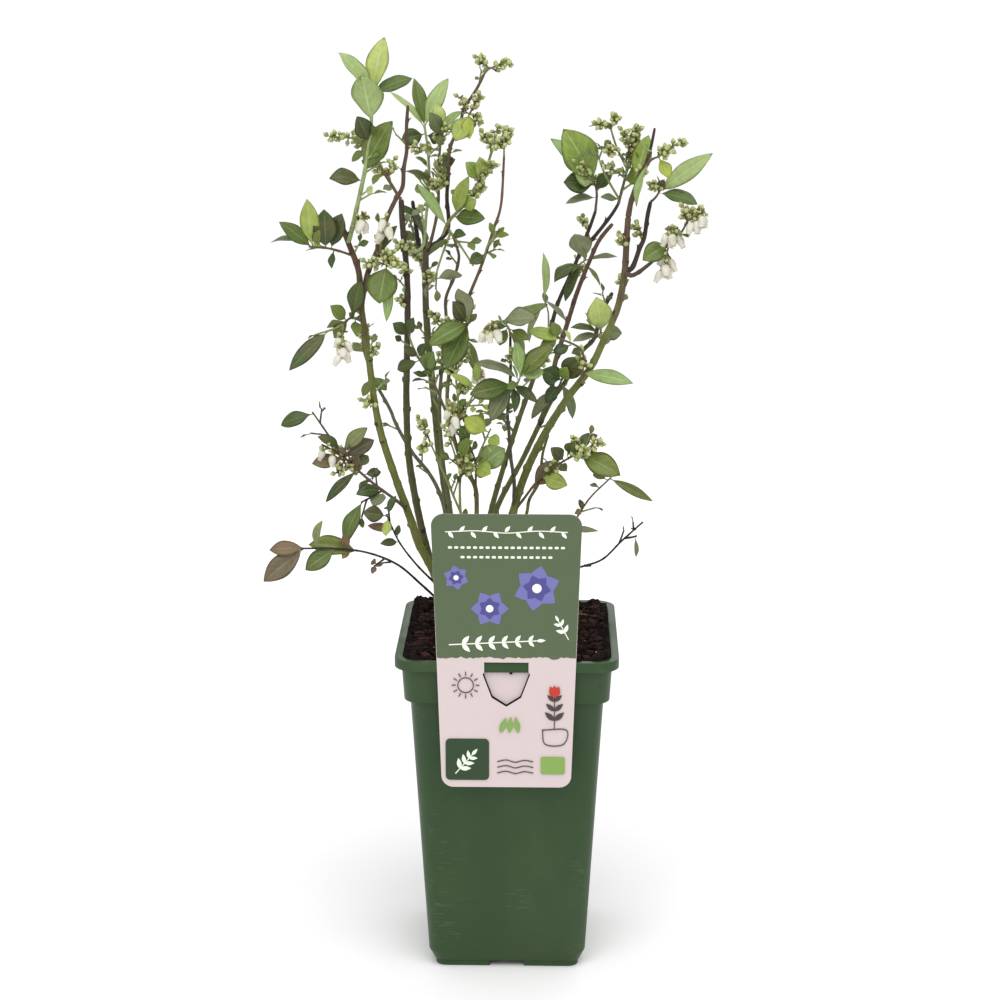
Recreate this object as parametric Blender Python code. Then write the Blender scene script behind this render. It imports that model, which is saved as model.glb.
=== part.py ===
# A young highbush blueberry in its square nursery pot, with the label card that hangs on the rim.
# Metres, +Z up. The origin is the middle of the pot's underside, and -Y is the side with the card.
# Tables give places in millimetres from that origin, because that is how the plant was measured.

import math
import random

import bmesh
import bpy
import numpy as np
from mathutils import Vector
from mathutils.bvhtree import BVHTree

MM = 0.001
GAP = 0.3  # left between pieces that meet

# The pot
POT_HEIGHT = 229.2
WALL = 1.2
LIP_HALF = 75.0
LIP_DEEP = 6.8
LIP_THICK = 1.4
COLLAR_TOP_HALF = 70.8
COLLAR_FOOT_HALF = 69.0
COLLAR_FOOT = 198.5
BODY_TOP_HALF = 65.0
BODY_FOOT_HALF = 54.2
BODY_FOOT = 12.0
BASE_HALF = 50.6
BASE_UNDER = 4.5
BASE_THICK = 1.5
CORNER = 11.0  # corner radius of the body
CORNER_FACETS = 3
FOOT_HALF = 49.5
FOOT_WIDE = 3.2
FOOT_SLOT = 24.0
PAD_RADIUS = 9.0
DRAIN_RADIUS = 4.5
DRAIN_AT = 29.0
ROUND_SIDES = 10

# The compost
SOIL_TOP = 221.0
SOIL_SWELL = 9.0
CROWN = (-25.0, 4.0)  # where the canes rise
CROWN_FLAT = (-54.0, 22.0, -30.0, 38.0)  # level round the canes: least and most x, least and most y
SOIL_BANK = 16.0
SOIL_EDGE_SINK = 3.0
SOIL_BETWEEN = 3

# The label card and its tongue
CARD_BACK = -75.4
CARD_THICK = 0.5
CARD_TOP = 331.0
CARD_FOOT = 142.3
CARD_TOP_HALF = 49.6
CARD_RIM_HALF = 45.8
CARD_FOOT_HALF = 43.2
CARD_ROUND = 8.0
TONGUE_BACK = -72.15
TONGUE_HINGE = 230.0
NECK_HALF = 14.7
NECK_FOOT = 223.0
SHIELD_HALF = 15.8
SHIELD_WAIST_HALF = 9.8
SHIELD_WAIST = 205.2
SHIELD_POINT = 198.9
TONGUE_CUT = 0.6
SLOT_HALF = 15.6
SLOT_FRONT = -73.3
SLOT_BACK = -71.1

# The canes and boughs: where each starts, the bends it passes, its radius at foot and tip.
# A cane starts at its first bend. A bough starts at a share of its parent's length.
CANES = {
    "cane_left": (None, ((-41, -8, 234), (-49, -11, 268), (-61, -15, 295), (-66, -17, 312),
        (-75, -22, 340), (-84, -27, 371), (-89, -31, 400), (-92, -34, 430), (-96, -37, 461),
        (-97, -40, 484), (-103, -43, 503), (-107, -46, 515)), 3.2, 1.9),
    "cane_straight": (None, ((-41, 6, 231), (-56, 6, 283), (-64, 8, 319), (-69, 10, 354), (-70, 12, 389),
        (-69, 15, 437), (-69, 18, 470), (-72, 22, 506), (-73, 24, 524)), 2.9, 2.0),
    "cane_tall": (None, ((-31, 12, 227), (-41, 18, 304), (-45, 22, 329), (-49, 27, 353), (-52, 32, 385),
        (-56, 38, 422), (-58, 43, 454), (-58, 48, 488)), 3.2, 2.3),
    "cane_red": (None, ((-21, -12, 230), (-21, -22, 317), (-22, -26, 337), (-29, -28, 351),
        (-36, -31, 372), (-40, -34, 396), (-38, -36, 420), (-32, -39, 443), (-26, -43, 466),
        (-17, -47, 489), (-9, -51, 513), (-4, -53, 530), (-2, -57, 561)), 2.0, 0.8),
    "cane_back_left": (None, ((-38, 28, 225), (-45, 38, 303), (-50, 42, 318), (-57, 46, 330),
        (-69, 50, 344), (-80, 56, 362), (-85, 60, 373), (-95, 64, 390)), 1.9, 1.2),
    "cane_thin": (None, ((-34, 2, 228), (-40, 3, 310), (-45, 4, 349), (-47, 3, 384), (-45, 1, 415),
        (-42, -1, 443), (-42, -2, 461), (-36, -4, 476), (-33, -6, 489), (-35, -7, 498)), 1.8, 1.0),
    "cane_inner": (None, ((-20, 8, 226), (-8, 14, 313), (9, 17, 346), (21, 20, 371), (29, 21, 387),
        (39, 22, 401), (48, 23, 419), (58, 24, 430), (62, 25, 446), (70, 26, 461)), 2.3, 1.4),
    "cane_back_right": (None, ((-25, 24, 229), (-13, 42, 304), (-3, 50, 338), (7, 55, 369), (16, 58, 394),
        (26, 62, 422), (33, 65, 447), (44, 68, 472), (54, 71, 497), (59, 73, 511)), 2.4, 1.2),
    "cane_right": (None, ((-15, -6, 226), (3, -12, 315), (10, -13, 339), (22, -16, 367), (39, -20, 396),
        (54, -23, 417), (64, -26, 439), (72, -28, 459), (76, -31, 481), (77, -33, 503),
        (78, -34, 520)), 3.3, 2.1),
    "cane_side": (None, ((-12, 14, 230), (12, 28, 305), (14, 30, 315), (21, 32, 328), (23, 35, 346),
        (27, 37, 360)), 1.6, 1.0),
    "bough_left_bare": (("cane_left", 0.81), ((-91, -34, 484), (-84, -34, 500), (-79, -36, 517),
        (-73, -37, 530), (-68, -38, 539), (-67, -38, 551), (-65, -38, 563), (-65, -38, 577),
        (-64, -38, 591)), 2.0, 1.1),
    "bough_tall_stub": (("cane_tall", 1.0), ((-63, 49, 491), (-65, 51, 505), (-67, 52, 520)), 1.7, 1.4),
    "bough_tall_bud": (("cane_tall", 0.99), ((-49, 45, 493), (-43, 44, 500), (-42, 44, 509),
        (-43, 44, 523), (-42, 44, 538), (-41, 43, 555), (-37, 42, 566), (-33, 41, 576), (-31, 40, 584),
        (-26, 39, 591), (-21, 38, 599), (-17, 36, 607)), 1.6, 1.0),
    "bough_slender": (("cane_right", 0.3), ((4, -22, 342), (2, -27, 357), (1, -33, 374), (0, -38, 391),
        (2, -45, 417), (2, -50, 433), (2, -54, 445)), 1.4, 0.9),
    "bough_back_right": (("cane_inner", 0.6), ((29, 26, 393), (31, 29, 410), (36, 32, 427), (41, 34, 443),
        (47, 36, 462), (55, 38, 482), (61, 39, 495), (70, 40, 506)), 1.9, 1.4),
    "bough_dark_right": (("cane_back_right", 0.9), ((56, 62, 492), (63, 58, 501), (70, 55, 511),
        (74, 53, 518)), 1.5, 1.2),
    "bough_right_bare": (("cane_right", 1.0), ((80, -35, 531), (84, -36, 543), (89, -37, 555),
        (92, -38, 566), (94, -39, 577)), 2.0, 0.9),
    "bough_right_bloom": (("cane_right", 0.88), ((82, -36, 482), (90, -39, 488), (97, -42, 495),
        (103, -45, 503)), 1.5, 1.0),
    "bough_right_dark": (("cane_right", 0.88), ((82, -28, 487), (86, -26, 498), (89, -24, 505),
        (91, -22, 519), (93, -20, 528)), 1.7, 1.4),
}
CANE_SIDES = 6
CANE_STEP = 28.0  # length of a cane's facets
FLARE = 0.3  # how much wider a cane is where it leaves the compost
FLARE_HEIGHT = 9.0

# How shoots, leaves and blossom grow
GOLDEN = math.radians(137.5)
SHOOT_STEP = 22.0
SHOOT_THIN = 0.65  # a shoot's tip radius beside its foot radius
TWIG_RADIUS = 0.95
TWIG_SIDES = 3
TWIG_BOW = 0.035  # how far a side shoot bows beside its length
SPUR_LENGTH = (6.0, 13.0)
SPUR_RADII = (0.8, 0.6)
SPUR_LEAVES = (1, 2, 2, 3)
SPUR_SOCKETS = (1.0, 0.7, 0.4)
SPUR_SPACING = 45.0
SPUR_SPLAY = math.radians(48)
LEAF_WIDE = (0.44, 0.56)  # width beside length
LEAF_THICK = 0.035
LEAF_SHOULDER = 0.45  # where a leaf is widest
LEAF_RIDGE = 0.34  # where it is thickest
LEAF_HUMP = 0.25  # how high its middle stands beside its curl
LEAF_DROOP = 0.08
LEAF_CURL = (0.02, 0.30)
LEAF_FOLD = (0.05, 0.5)
UPWARD, OUTWARD, LOOSE = 0.62, 0.5, 0.55  # what an unnamed leaf faces: up, out of the crown, by chance
FRONT = Vector((0.0, -1.0, 0.0))
LEAF_SPLAY = (math.radians(68), math.radians(30))
LEAF_START = 0.28
SPACE = 62.0  # how far a mass reaches from its own stem
CLEAR = 0.35
SUNK = 1.6  # how far before a shoot's end a root is sunk
RACEME = 15.0  # length of a stalk that carries buds or bells
RACEME_SHARE = 0.75
STALK_RADII = (0.8, 0.7, 0.6)
STALK_LIFT = 0.6
BELL_SWING = 0.55  # how far a bell hangs outward
BUD_LEAN = 0.9  # how far the last buds lean along their stalk
BUD_LIFT = 0.15
BLOOM_BELLY = 0.62  # where a bud or bell is widest
BUD_SIZE = (5.6, 3.5)
BELL_SIZE = (11.5, 6.6)


def twig(at, tip, leaves=0, size=22, tint="green", parts=()):
    """A shoot that leaves its parent at a share of its length and ends at tip."""
    return ("twig", at, tip, leaves, size, tint, parts)


def leaf(at, tip, tint="green", wide=None, turn=None, curl=None):
    """One leaf that stands out, from its place on the shoot to its own tip: its width and hump beside
    its length, and the degrees that its face turns up from the front."""
    return ("leaf", at, tip, tint, {"wide": wide, "turn": turn, "curl": curl})


def buds(at, tip, count=6):
    """A raceme of closed green buds."""
    return ("buds", at, tip, count)


def bells(at, tip, count=5):
    """A raceme of hanging white bells."""
    return ("bells", at, tip, count)


# Each mass: the limb that it grows on, the share of that limb's length, the bends and tip of its
# stem, the stem's radius, its small leaves (how many, how long, which tint), and its shoots.
MASSES = {
    "spray_left_tip": ("cane_left", 0.96, ((-99, -50, 515), (-94, -54, 539), (-89, -58, 559),
        (-86, -61, 580), (-85, -63, 602)), 1.8, (1, 13, "green"), (
        leaf(0.8, (-91, -72, 612), "young", 0.62, 165), leaf(0.97, (-78, -58, 635), "young", 0.37, 20),
        leaf(1.0, (-105, -70, 626), "young", 0.37, 50), leaf(1.0, (-60, -54, 610), "green", 0.37, 40),
        leaf(0.66, (-94, -66, 586), "dark", 0.6, 20), leaf(0.46, (-73, -62, 583), "green", 0.47, 30),
        leaf(0.4, (-112, -66, 548), "dark", 0.52, 42, 0.35),
        leaf(0.55, (-78, -52, 560), "yellow", 0.45, 40), bells(0.12, (-90, -58, 523), 3))),
    "spray_left_fan": ("cane_left", 0.925, ((-110, -52, 500), (-127, -60, 503)), 1.0, (1, 12, "green"), (
        leaf(0.92, (-127, -66, 534), "yellow", 0.36, 10), leaf(0.95, (-144, -70, 520), "green", 0.34, 25),
        leaf(1.0, (-151, -66, 507), "grey", 0.26, 72, 0.5),
        leaf(0.62, (-117, -60, 527), "dark", 0.56, 10), leaf(0.5, (-106, -58, 524), "dark", 0.5, 25),
        leaf(0.42, (-113, -58, 489), "dark", 0.4, 30), leaf(0.8, (-120, -66, 514), "green", 0.5, 35))),
    "spray_left_bells": ("bough_left_bare", 0.2, ((-82, -50, 495),
        (-77, -56, 490)), 1.0, (1, 11, "dark"), (
        leaf(1.0, (-82, -64, 467), "green", 0.76, 15), leaf(1.0, (-77, -62, 455), "young", 0.2, 30),
        bells(0.4, (-77, -60, 525), 3), buds(0.9, (-90, -60, 493), 4), buds(0.5, (-73, -64, 499), 4),
        leaf(0.3, (-71, -46, 515), "dark", 0.42, 40))),
    "spray_straight_top": ("cane_straight", 1.0, ((-78, 24, 530), (-84, 22, 542), (-93, 19, 554),
        (-101, 16, 566)), 1.3, (2, 14, "green"), (
        buds(1.0, (-119, 8, 567), 7), leaf(0.4, (-91, 10, 536), "green", 0.4, 50),
        buds(0.28, (-79, 30, 549), 6), leaf(0.18, (-84, 12, 532), "grey", 0.42, 40),
        leaf(0.8, (-105, 14, 550), "green", 0.45, 35))),
    "spray_tall_mid": ("cane_tall", 0.985, ((-51, 46, 502), (-49, 50, 524), (-49, 52, 542),
        (-47, 54, 566)), 1.3, (2, 14, "green"), (
        buds(1.0, (-41, 50, 570), 5), buds(0.84, (-67, 44, 557), 7),
        leaf(1.0, (-50, 58, 586), "young", 0.4, 25), leaf(0.98, (-33, 50, 581), "young", 0.36, 45, 0.35),
        leaf(0.96, (-54, 48, 580), "grey", 0.5, 30), leaf(0.7, (-38, 44, 549), "dark", 0.55, 20),
        leaf(0.58, (-40, 48, 539), "dark", 0.5, 20), leaf(0.48, (-72, 46, 541), "dark", 0.32, 68, 0.45))),
    "spray_young_second": ("cane_straight", 0.88, ((-61, 38, 488), (-59, 46, 499), (-56, 54, 524),
        (-56, 58, 547), (-59, 62, 571)), 1.4, (1, 13, "green"), (
        leaf(1.0, (-43, 66, 602), "young", 0.32, 22), leaf(0.98, (-66, 70, 602), "green", 0.28, 25),
        leaf(0.97, (-82, 58, 593), "young", 0.22, 62), leaf(0.94, (-74, 52, 561), "dark", 0.62, 15),
        leaf(0.93, (-49, 70, 560), "dark", 0.6, 20), leaf(0.24, (-73, 34, 520), "dark", 0.3, 66, 0.5))),
    "spray_tall_buds": ("bough_tall_bud", 1.0, ((-15, 35, 609), (-13, 33, 611)), 0.9, (0, 12, "green"), (
        buds(1.0, (-1, 28, 614), 7), buds(0.9, (-21, 30, 617), 6))),
    "spray_tall_side": ("bough_tall_bud", 0.76, ((-29, 34, 581), (-26, 30, 580)), 0.9, (1, 12, "young"), (
        buds(1.0, (-20, 26, 577), 5), buds(0.9, (-20, 28, 593), 5), buds(0.4, (-33, 26, 592), 3),
        leaf(0.8, (-36, 22, 563), "yellow", 0.62, 20), leaf(1.0, (-27, 22, 565), "yellow", 0.55, 30))),
    "spray_tall_right": ("bough_tall_bud", 0.1, ((-39, 40, 512), (-32, 36, 520), (-24, 32, 525),
        (-19, 29, 537), (-14, 26, 550), (-11, 24, 558)), 1.4, (1, 13, "green"), (
        leaf(0.1, (-28, 26, 539), "yellow", 0.34, 15), leaf(0.22, (-23, 24, 524), "yellow", 0.66, 15),
        leaf(0.06, (-17, 28, 511), "green", 0.46, 25), leaf(0.62, (-29, 22, 549), "yellow", 0.6, 20),
        leaf(0.66, (-20, 16, 553), "yellow", 0.55, 20), buds(1.0, (-17, 22, 568), 6),
        buds(0.9, (-8, 26, 572), 4))),
    "spray_red_top": ("cane_red", 1.0, ((-2, -58, 565), (-2, -59, 567)), 0.8, (0, 12, "green"), (
        buds(1.0, (0, -60, 577), 7), buds(0.7, (-7, -64, 569), 5))),
    "spray_red_side": ("cane_red", 0.79, ((-12, -56, 505), (-8, -60, 511)), 0.8, (0, 9, "green"), (
        leaf(1.0, (1, -66, 512), "green", 0.36, 40), leaf(0.1, (-24, -64, 493), "dark", 0.48, 20),
        leaf(0.9, (-11, -62, 519), "green", 0.45, 30))),
    "spray_thin_top": ("cane_thin", 1.0, ((-36, -9, 502), (-41, -12, 511)), 1.0, (0, 12, "green"), (
        leaf(1.0, (-59, -16, 539), "young", 0.2, 35), leaf(0.3, (-53, -20, 493), "dark", 0.24, 50, 0.3),
        leaf(0.5, (-28, -20, 506), "dark", 0.45, 30),
        twig(0.6, (-49, -24, 475), 0, 9, "green", (leaf(1.0, (-30, -28, 481), "grey", 0.46, 145),)),
        twig(0.7, (-23, -18, 485), 0, 9, "green"))),
    "spray_left_low": ("cane_left", 0.77, ((-101, -46, 455), (-108, -54, 451)), 1.1, (1, 12, "green"), (
        twig(1.0, (-116, -66, 449), 0, 9, "dark", (leaf(1.0, (-140, -74, 425), "dark", 0.27, 20),)),
        bells(0.9, (-106, -66, 436), 6), leaf(0.45, (-95, -52, 480), "dark", 0.42, 20),
        leaf(0.7, (-113, -62, 465), "green", 0.46, 35), leaf(0.6, (-113, -50, 442), "green", 0.52, 25),
        leaf(0.3, (-97, -56, 445), "green", 0.5, 30))),
    "spray_straight_low": ("cane_red", 0.45, ((-47, -28, 404), (-53, -20, 412),
        (-61, -10, 423)), 1.1, (1, 12, "green"), (
        leaf(0.98, (-70, -12, 430), "dark", 0.48, 22), leaf(0.92, (-75, -10, 414), "dark", 0.48, 20),
        leaf(1.0, (-55, -16, 433), "dark", 0.5, 30), leaf(0.6, (-63, -26, 415), "dark", 0.34, 40),
        leaf(0.72, (-49, -30, 430), "green", 0.6, 20),
        twig(1.0, (-67, -4, 437), 0, 12, "dark", (leaf(1.0, (-77, -8, 445), "dark", 0.56, 25),
        leaf(0.9, (-64, -12, 449), "dark", 0.5, 30))))),
    "spray_tall_low": ("cane_red", 0.63, ((-27, -44, 450), (-24, -50, 453)), 1.1, (2, 12, "green"), (
        leaf(0.9, (-51, -60, 439), "green", 0.42, 30), leaf(1.0, (-31, -58, 477), "grey", 0.42, 155),
        leaf(0.6, (-35, -54, 467), "dark", 0.5, 20), leaf(0.8, (-40, -54, 423), "green", 0.5, 25))),
    "spray_outer_left": ("cane_left", 0.3, ((-75, -24, 327), (-82, -22, 331), (-92, -18, 338),
        (-100, -14, 344), (-107, -12, 350), (-112, -10, 354)), 1.3, (1, 12, "plum"), (
        twig(0.98, (-133, -2, 383), 0, 12, "dark", (leaf(1.0, (-155, -2, 374), "dark", 0.42, 35, 0.3),
        leaf(0.12, (-128, -14, 369), "dark", 0.42, 50, 0.45),
        leaf(0.1, (-96, -8, 374), "grey", 0.4, 30))), bells(0.97, (-125, -22, 365), 2),
        buds(0.95, (-115, -18, 344), 4), leaf(0.96, (-132, -18, 351), "plum", 0.42, 20),
        leaf(0.97, (-91, -6, 365), "plum", 0.46, 22), leaf(0.76, (-95, -6, 354), "grey", 0.6, 20),
        leaf(0.62, (-86, -12, 344), "dark", 0.5, 25), leaf(0.72, (-123, -24, 326), "dark", 0.24, 25),
        leaf(0.3, (-101, -34, 334), "dark", 0.44, 40, 0.4), leaf(0.25, (-90, -34, 325), "grey", 0.6, 40),
        leaf(0.52, (-100, -26, 335), "dark", 0.4, 30),
        twig(0.28, (-99, -26, 326), 0, 9, "dark", (leaf(1.0, (-110, -34, 300), "green", 0.36, 30, 0.3),)))),
    "spray_low_left": ("cane_left", 0.055, ((-56, -26, 266), (-68, -34, 281), (-80, -42, 290),
        (-95, -50, 298), (-114, -60, 303), (-135, -68, 305)), 1.0, (1, 11, "plum"), (
        leaf(1.0, (-160, -74, 284), "plum", 0.42, 15), leaf(0.97, (-156, -70, 305), "plum", 0.4, 35),
        leaf(0.92, (-122, -70, 324), "grey", 0.3, 35), leaf(0.8, (-133, -66, 290), "green", 0.48, 25),
        leaf(0.66, (-131, -58, 306), "green", 0.4, 40), leaf(0.74, (-108, -58, 313), "plum", 0.5, 30))),
    "spray_low_left_inner": ("cane_left", 0.1, ((-62, -26, 283), (-68, -30, 291), (-74, -34, 303),
        (-81, -38, 321)), 0.9, (1, 11, "dark"), (
        leaf(1.0, (-96, -42, 323), "dark", 0.62, 20), leaf(0.96, (-81, -46, 308), "yellow", 0.48, 20),
        leaf(0.98, (-75, -34, 333), "dark", 0.4, 35), leaf(0.8, (-94, -34, 312), "plum", 0.34, 40),
        leaf(0.66, (-85, -44, 302), "dark", 0.34, 40))),
    "spray_vine": ("cane_red", 0.1, ((-31, -30, 315), (-32, -34, 340), (-32, -37, 355), (-29, -39, 366),
        (-32, -41, 383), (-32, -43, 397), (-34, -45, 414), (-32, -47, 433),
        (-26, -49, 443)), 1.1, (1, 10, "green"), (
        twig(0.66, (-19, -52, 412), 0, 12, "green", (leaf(0.9, (-37, -56, 420), "yellow", 0.26, 30),
        leaf(1.0, (-19, -50, 428), "yellow", 0.36, 30), leaf(1.0, (-4, -70, 414), "yellow", 0.34, 40))),
        twig(0.27, (-52, -30, 369), 0, 12, "dark", (buds(1.0, (-58, -34, 385), 6),
        buds(0.95, (-56, -36, 366), 5))), bells(0.62, (-37, -52, 398), 4), buds(0.44, (-40, -50, 382), 4),
        leaf(0.5, (-26, -46, 375), "green", 0.5, 30), leaf(1.0, (-19, -52, 440), "grey", 0.3, 40))),
    "spray_slender_top": ("bough_slender", 1.0, ((1, -60, 451), (-4, -66, 457)), 0.9, (2, 13, "green"), (
        bells(1.0, (-14, -74, 453), 6), leaf(1.0, (19, -70, 459), "grey", 0.6, 42),
        leaf(0.7, (26, -54, 466), "green", 0.34, 55), leaf(0.5, (-5, -64, 440), "green", 0.5, 20),
        leaf(0.4, (14, -62, 444), "green", 0.46, 30), leaf(0.3, (12, -52, 432), "grey", 0.34, 40))),
    "spray_slender_mid": ("bough_slender", 0.72, ((6, -55, 412), (9, -60, 420)), 0.9, (1, 12, "young"), (
        leaf(0.8, (-23, -62, 428), "grey", 0.3, 66, 0.5), leaf(1.0, (6, -62, 443), "young", 0.36, 25),
        leaf(0.9, (30, -60, 440), "green", 0.42, 35), leaf(1.0, (24, -62, 423), "young", 0.5, 30),
        leaf(0.7, (0, -62, 411), "green", 0.6, 20), leaf(0.9, (15, -56, 434), "green", 0.46, 30),
        leaf(0.2, (-24, -58, 407), "green", 0.44, 20), leaf(0.1, (20, -56, 401), "dark", 0.3, 35),
        leaf(0.1, (-11, -56, 389), "grey", 0.44, 25), leaf(0.1, (5, -58, 395), "dark", 0.36, 40))),
    "spray_red_low": ("cane_red", 0.27, ((-22, -34, 360), (-26, -38, 371)), 1.0, (1, 12, "young"), (
        twig(0.4, (-11, -44, 381), 0, 12, "yellow", (leaf(0.9, (-28, -50, 389), "yellow", 0.62, 15),
        leaf(0.8, (-5, -50, 372), "yellow", 0.66, 25))), leaf(0.45, (-11, -46, 351), "yellow", 0.66, 15),
        leaf(1.0, (-30, -46, 383), "green", 0.5, 30), leaf(0.3, (-2, -26, 364), "young", 0.66, 20))),
    "spray_inner_mid": ("cane_inner", 0.63, ((35, 14, 400), (36, 8, 405)), 1.0, (2, 14, "green"), (
        leaf(1.0, (49, 2, 420), "dark", 0.66, 15), leaf(0.8, (44, 4, 378), "grey", 0.3, 40),
        leaf(0.6, (15, 2, 379), "grey", 0.3, 45), leaf(0.9, (22, 0, 412), "dark", 0.7, 15),
        leaf(0.7, (25, 4, 389), "dark", 0.5, 20), leaf(0.9, (39, 0, 414), "yellow", 0.6, 20))),
    "spray_inner_top": ("cane_inner", 0.86, ((62, 18, 434), (62, 12, 436)), 1.0, (2, 14, "grey"), (
        leaf(1.0, (59, 6, 460), "young", 0.62, 12), leaf(0.8, (76, 8, 436), "grey", 0.62, 20),
        leaf(0.5, (42, 12, 440), "dark", 0.3, 60, 0.35), leaf(0.4, (43, 10, 430), "grey", 0.3, 50, 0.3))),
    "spray_right_low": ("cane_right", 0.29, ((19, -20, 339), (28, -26, 349), (39, -34, 358),
        (49, -42, 364), (54, -46, 369)), 1.1, (1, 13, "dark"), (
        buds(1.0, (61, -50, 374), 4), leaf(0.2, (34, -18, 354), "plum", 0.5, 20),
        leaf(0.34, (40, -32, 340), "yellow", 0.56, 15), leaf(0.66, (29, -38, 367), "dark", 0.62, 20),
        leaf(0.84, (54, -36, 377), "dark", 0.42, 15), leaf(0.86, (74, -54, 353), "green", 0.46, 22),
        leaf(0.6, (39, -40, 352), "dark", 0.6, 20), leaf(0.74, (43, -46, 372), "dark", 0.6, 25),
        leaf(0.88, (58, -48, 352), "plum", 0.22, 30))),
    "spray_right_outer": ("cane_inner", 0.14, ((25, 20, 283), (47, 26, 302), (56, 30, 316), (64, 33, 328),
        (71, 35, 330)), 1.0, (1, 11, "dark"), (
        leaf(1.0, (100, 34, 313), "green", 0.2, 20, 0.2), leaf(0.97, (58, 40, 331), "plum", 0.4, 40),
        leaf(0.56, (62, 24, 294), "grey", 0.2, 40), leaf(0.72, (46, 18, 308), "plum", 0.4, 30),
        leaf(0.9, (56, 44, 323), "grey", 0.26, 50))),
    "spray_dead_twig": ("cane_right", 0.07, ((25, -16, 266), (49, -26, 282), (67, -34, 291),
        (75, -38, 302), (90, -44, 318)), 1.0, (0, 9, "dark"), (
        twig(0.86, (86, -46, 309), 0, 8, "dark", (leaf(1.0, (86, -48, 295), "grey", 0.24, 30),)),
        twig(0.56, (56, -34, 285), 0, 8, "dark"), twig(0.94, (83, -34, 311), 0, 8, "dark"))),
    "spray_right_side": ("cane_right", 0.6, ((53, -30, 424), (47, -34, 433), (38, -38, 441),
        (32, -42, 442)), 1.1, (1, 13, "young"), (
        leaf(0.05, (82, -42, 412), "young", 0.26, 30), leaf(1.0, (29, -46, 452), "green", 0.58, 15),
        leaf(0.95, (21, -50, 436), "green", 0.46, 25), leaf(0.7, (30, -44, 432), "dark", 0.5, 30),
        leaf(0.9, (13, -48, 447), "yellow", 0.36, 40), leaf(0.5, (42, -42, 431), "dark", 0.5, 30))),
    "spray_back_mid": ("cane_back_right", 0.69, ((26, 58, 446), (23, 55, 453)), 0.8, (1, 12, "grey"), (
        leaf(1.0, (23, 52, 485), "young", 0.2, 40), leaf(0.9, (39, 48, 437), "grey", 0.26, 60, 0.35),
        leaf(0.8, (12, 54, 422), "grey", 0.26, 60, 0.35))),
    "spray_back_right_mid": ("cane_back_right", 0.84, ((50, 62, 477),
        (53, 58, 479)), 0.9, (1, 13, "green"), (
        leaf(1.0, (44, 54, 497), "grey", 0.74, 160), leaf(0.9, (74, 56, 482), "grey", 0.24, 60),
        leaf(0.5, (30, 54, 465), "dark", 0.48, 56, 0.45), leaf(0.7, (63, 56, 462), "green", 0.22, 55),
        leaf(0.6, (37, 58, 450), "dark", 0.26, 40))),
    "spray_back_right_top": ("cane_back_right", 1.0, ((58, 74, 518), (60, 72, 526),
        (57, 70, 534)), 1.1, (1, 14, "green"), (
        leaf(1.0, (37, 58, 568), "yellow", 0.56, 12), leaf(0.97, (28, 74, 561), "young", 0.3, 30),
        leaf(0.85, (44, 60, 539), "young", 0.66, 20), leaf(0.78, (37, 62, 532), "dark", 0.66, 20),
        leaf(0.35, (38, 62, 517), "grey", 0.3, 50, 0.3), leaf(0.6, (70, 64, 539), "dark", 0.46, 20),
        buds(1.0, (46, 56, 545), 5))),
    "spray_dark_right_top": ("bough_dark_right", 1.0, ((77, 51, 528), (79, 49, 539), (81, 46, 550),
        (83, 44, 562)), 1.2, (1, 13, "green"), (
        buds(1.0, (86, 40, 571), 5), buds(0.8, (77, 38, 569), 6),
        twig(0.55, (67, 40, 573), 0, 12, "dark", (buds(1.0, (59, 36, 573), 6),
        buds(0.9, (71, 36, 578), 5), buds(0.5, (67, 32, 555), 5))), buds(0.4, (64, 40, 546), 5),
        twig(0.05, (57, 46, 558), 0, 9, "dark"), leaf(0.05, (62, 44, 524), "grey", 0.34, 40),
        leaf(0.35, (92, 34, 542), "green", 0.5, 30),
        twig(0.2, (86, 40, 536), 0, 9, "green", (leaf(1.0, (93, 36, 566), "yellow", 0.4, 20),)))),
    "spray_right_top": ("bough_right_bare", 0.56, ((94, -46, 559),
        (97, -50, 560)), 1.0, (0, 12, "young"), (
        leaf(0.05, (82, -46, 528), "young", 0.24, 50), leaf(1.0, (103, -56, 547), "yellow", 0.5, 20),
        buds(1.0, (102, -56, 565), 7), buds(0.8, (111, -52, 570), 5))),
    "spray_right_dark_top": ("bough_right_dark", 1.0, ((96, -20, 530),
        (99, -22, 536)), 1.0, (1, 11, "green"), (
        leaf(1.0, (132, -28, 560), "young", 0.27, 20), leaf(0.7, (123, -30, 528), "green", 0.4, 48),
        buds(0.9, (94, -30, 540), 5), leaf(0.95, (101, -30, 543), "plum", 0.5, 20))),
    "spray_right_bloom": ("bough_right_bloom", 1.0, ((107, -48, 508), (112, -51, 512),
        (116, -54, 521)), 1.0, (0, 11, "green"), (
        bells(1.0, (126, -58, 526), 6), bells(0.55, (103, -58, 515), 6), bells(0.05, (101, -54, 490), 6),
        leaf(0.02, (87, -54, 494), "green", 0.6, 20), buds(0.9, (113, -56, 527), 4))),
    "spray_back_left": ("cane_back_left", 1.0, ((-104, 72, 414),
        (-104, 76, 440)), 1.0, (3, 15, "green"), (
        leaf(0.1, (-87, 60, 386), "green", 0.5, 30), leaf(0.05, (-104, 62, 381), "green", 0.5, 35),
        leaf(1.0, (-110, 84, 452), "dark", 0.36, 30))),
    "spray_back_high": ("cane_tall", 0.84, ((-62, 62, 476), (-72, 84, 506)), 1.1, (3, 16, "dark"), (
        leaf(1.0, (-75, 92, 512), "dark", 0.36, 30), buds(0.9, (-62, 92, 512), 4),
        twig(0.5, (-50, 92, 488), 2, 14, "dark"))),
    "spray_back_low": ("cane_back_right", 0.45, ((-8, 72, 366), (-24, 84, 392)), 1.1, (3, 15, "green"), (
        twig(0.5, (14, 92, 388), 2, 14, "dark"), leaf(1.0, (-34, 88, 420), "green", 0.3, 40),
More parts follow.
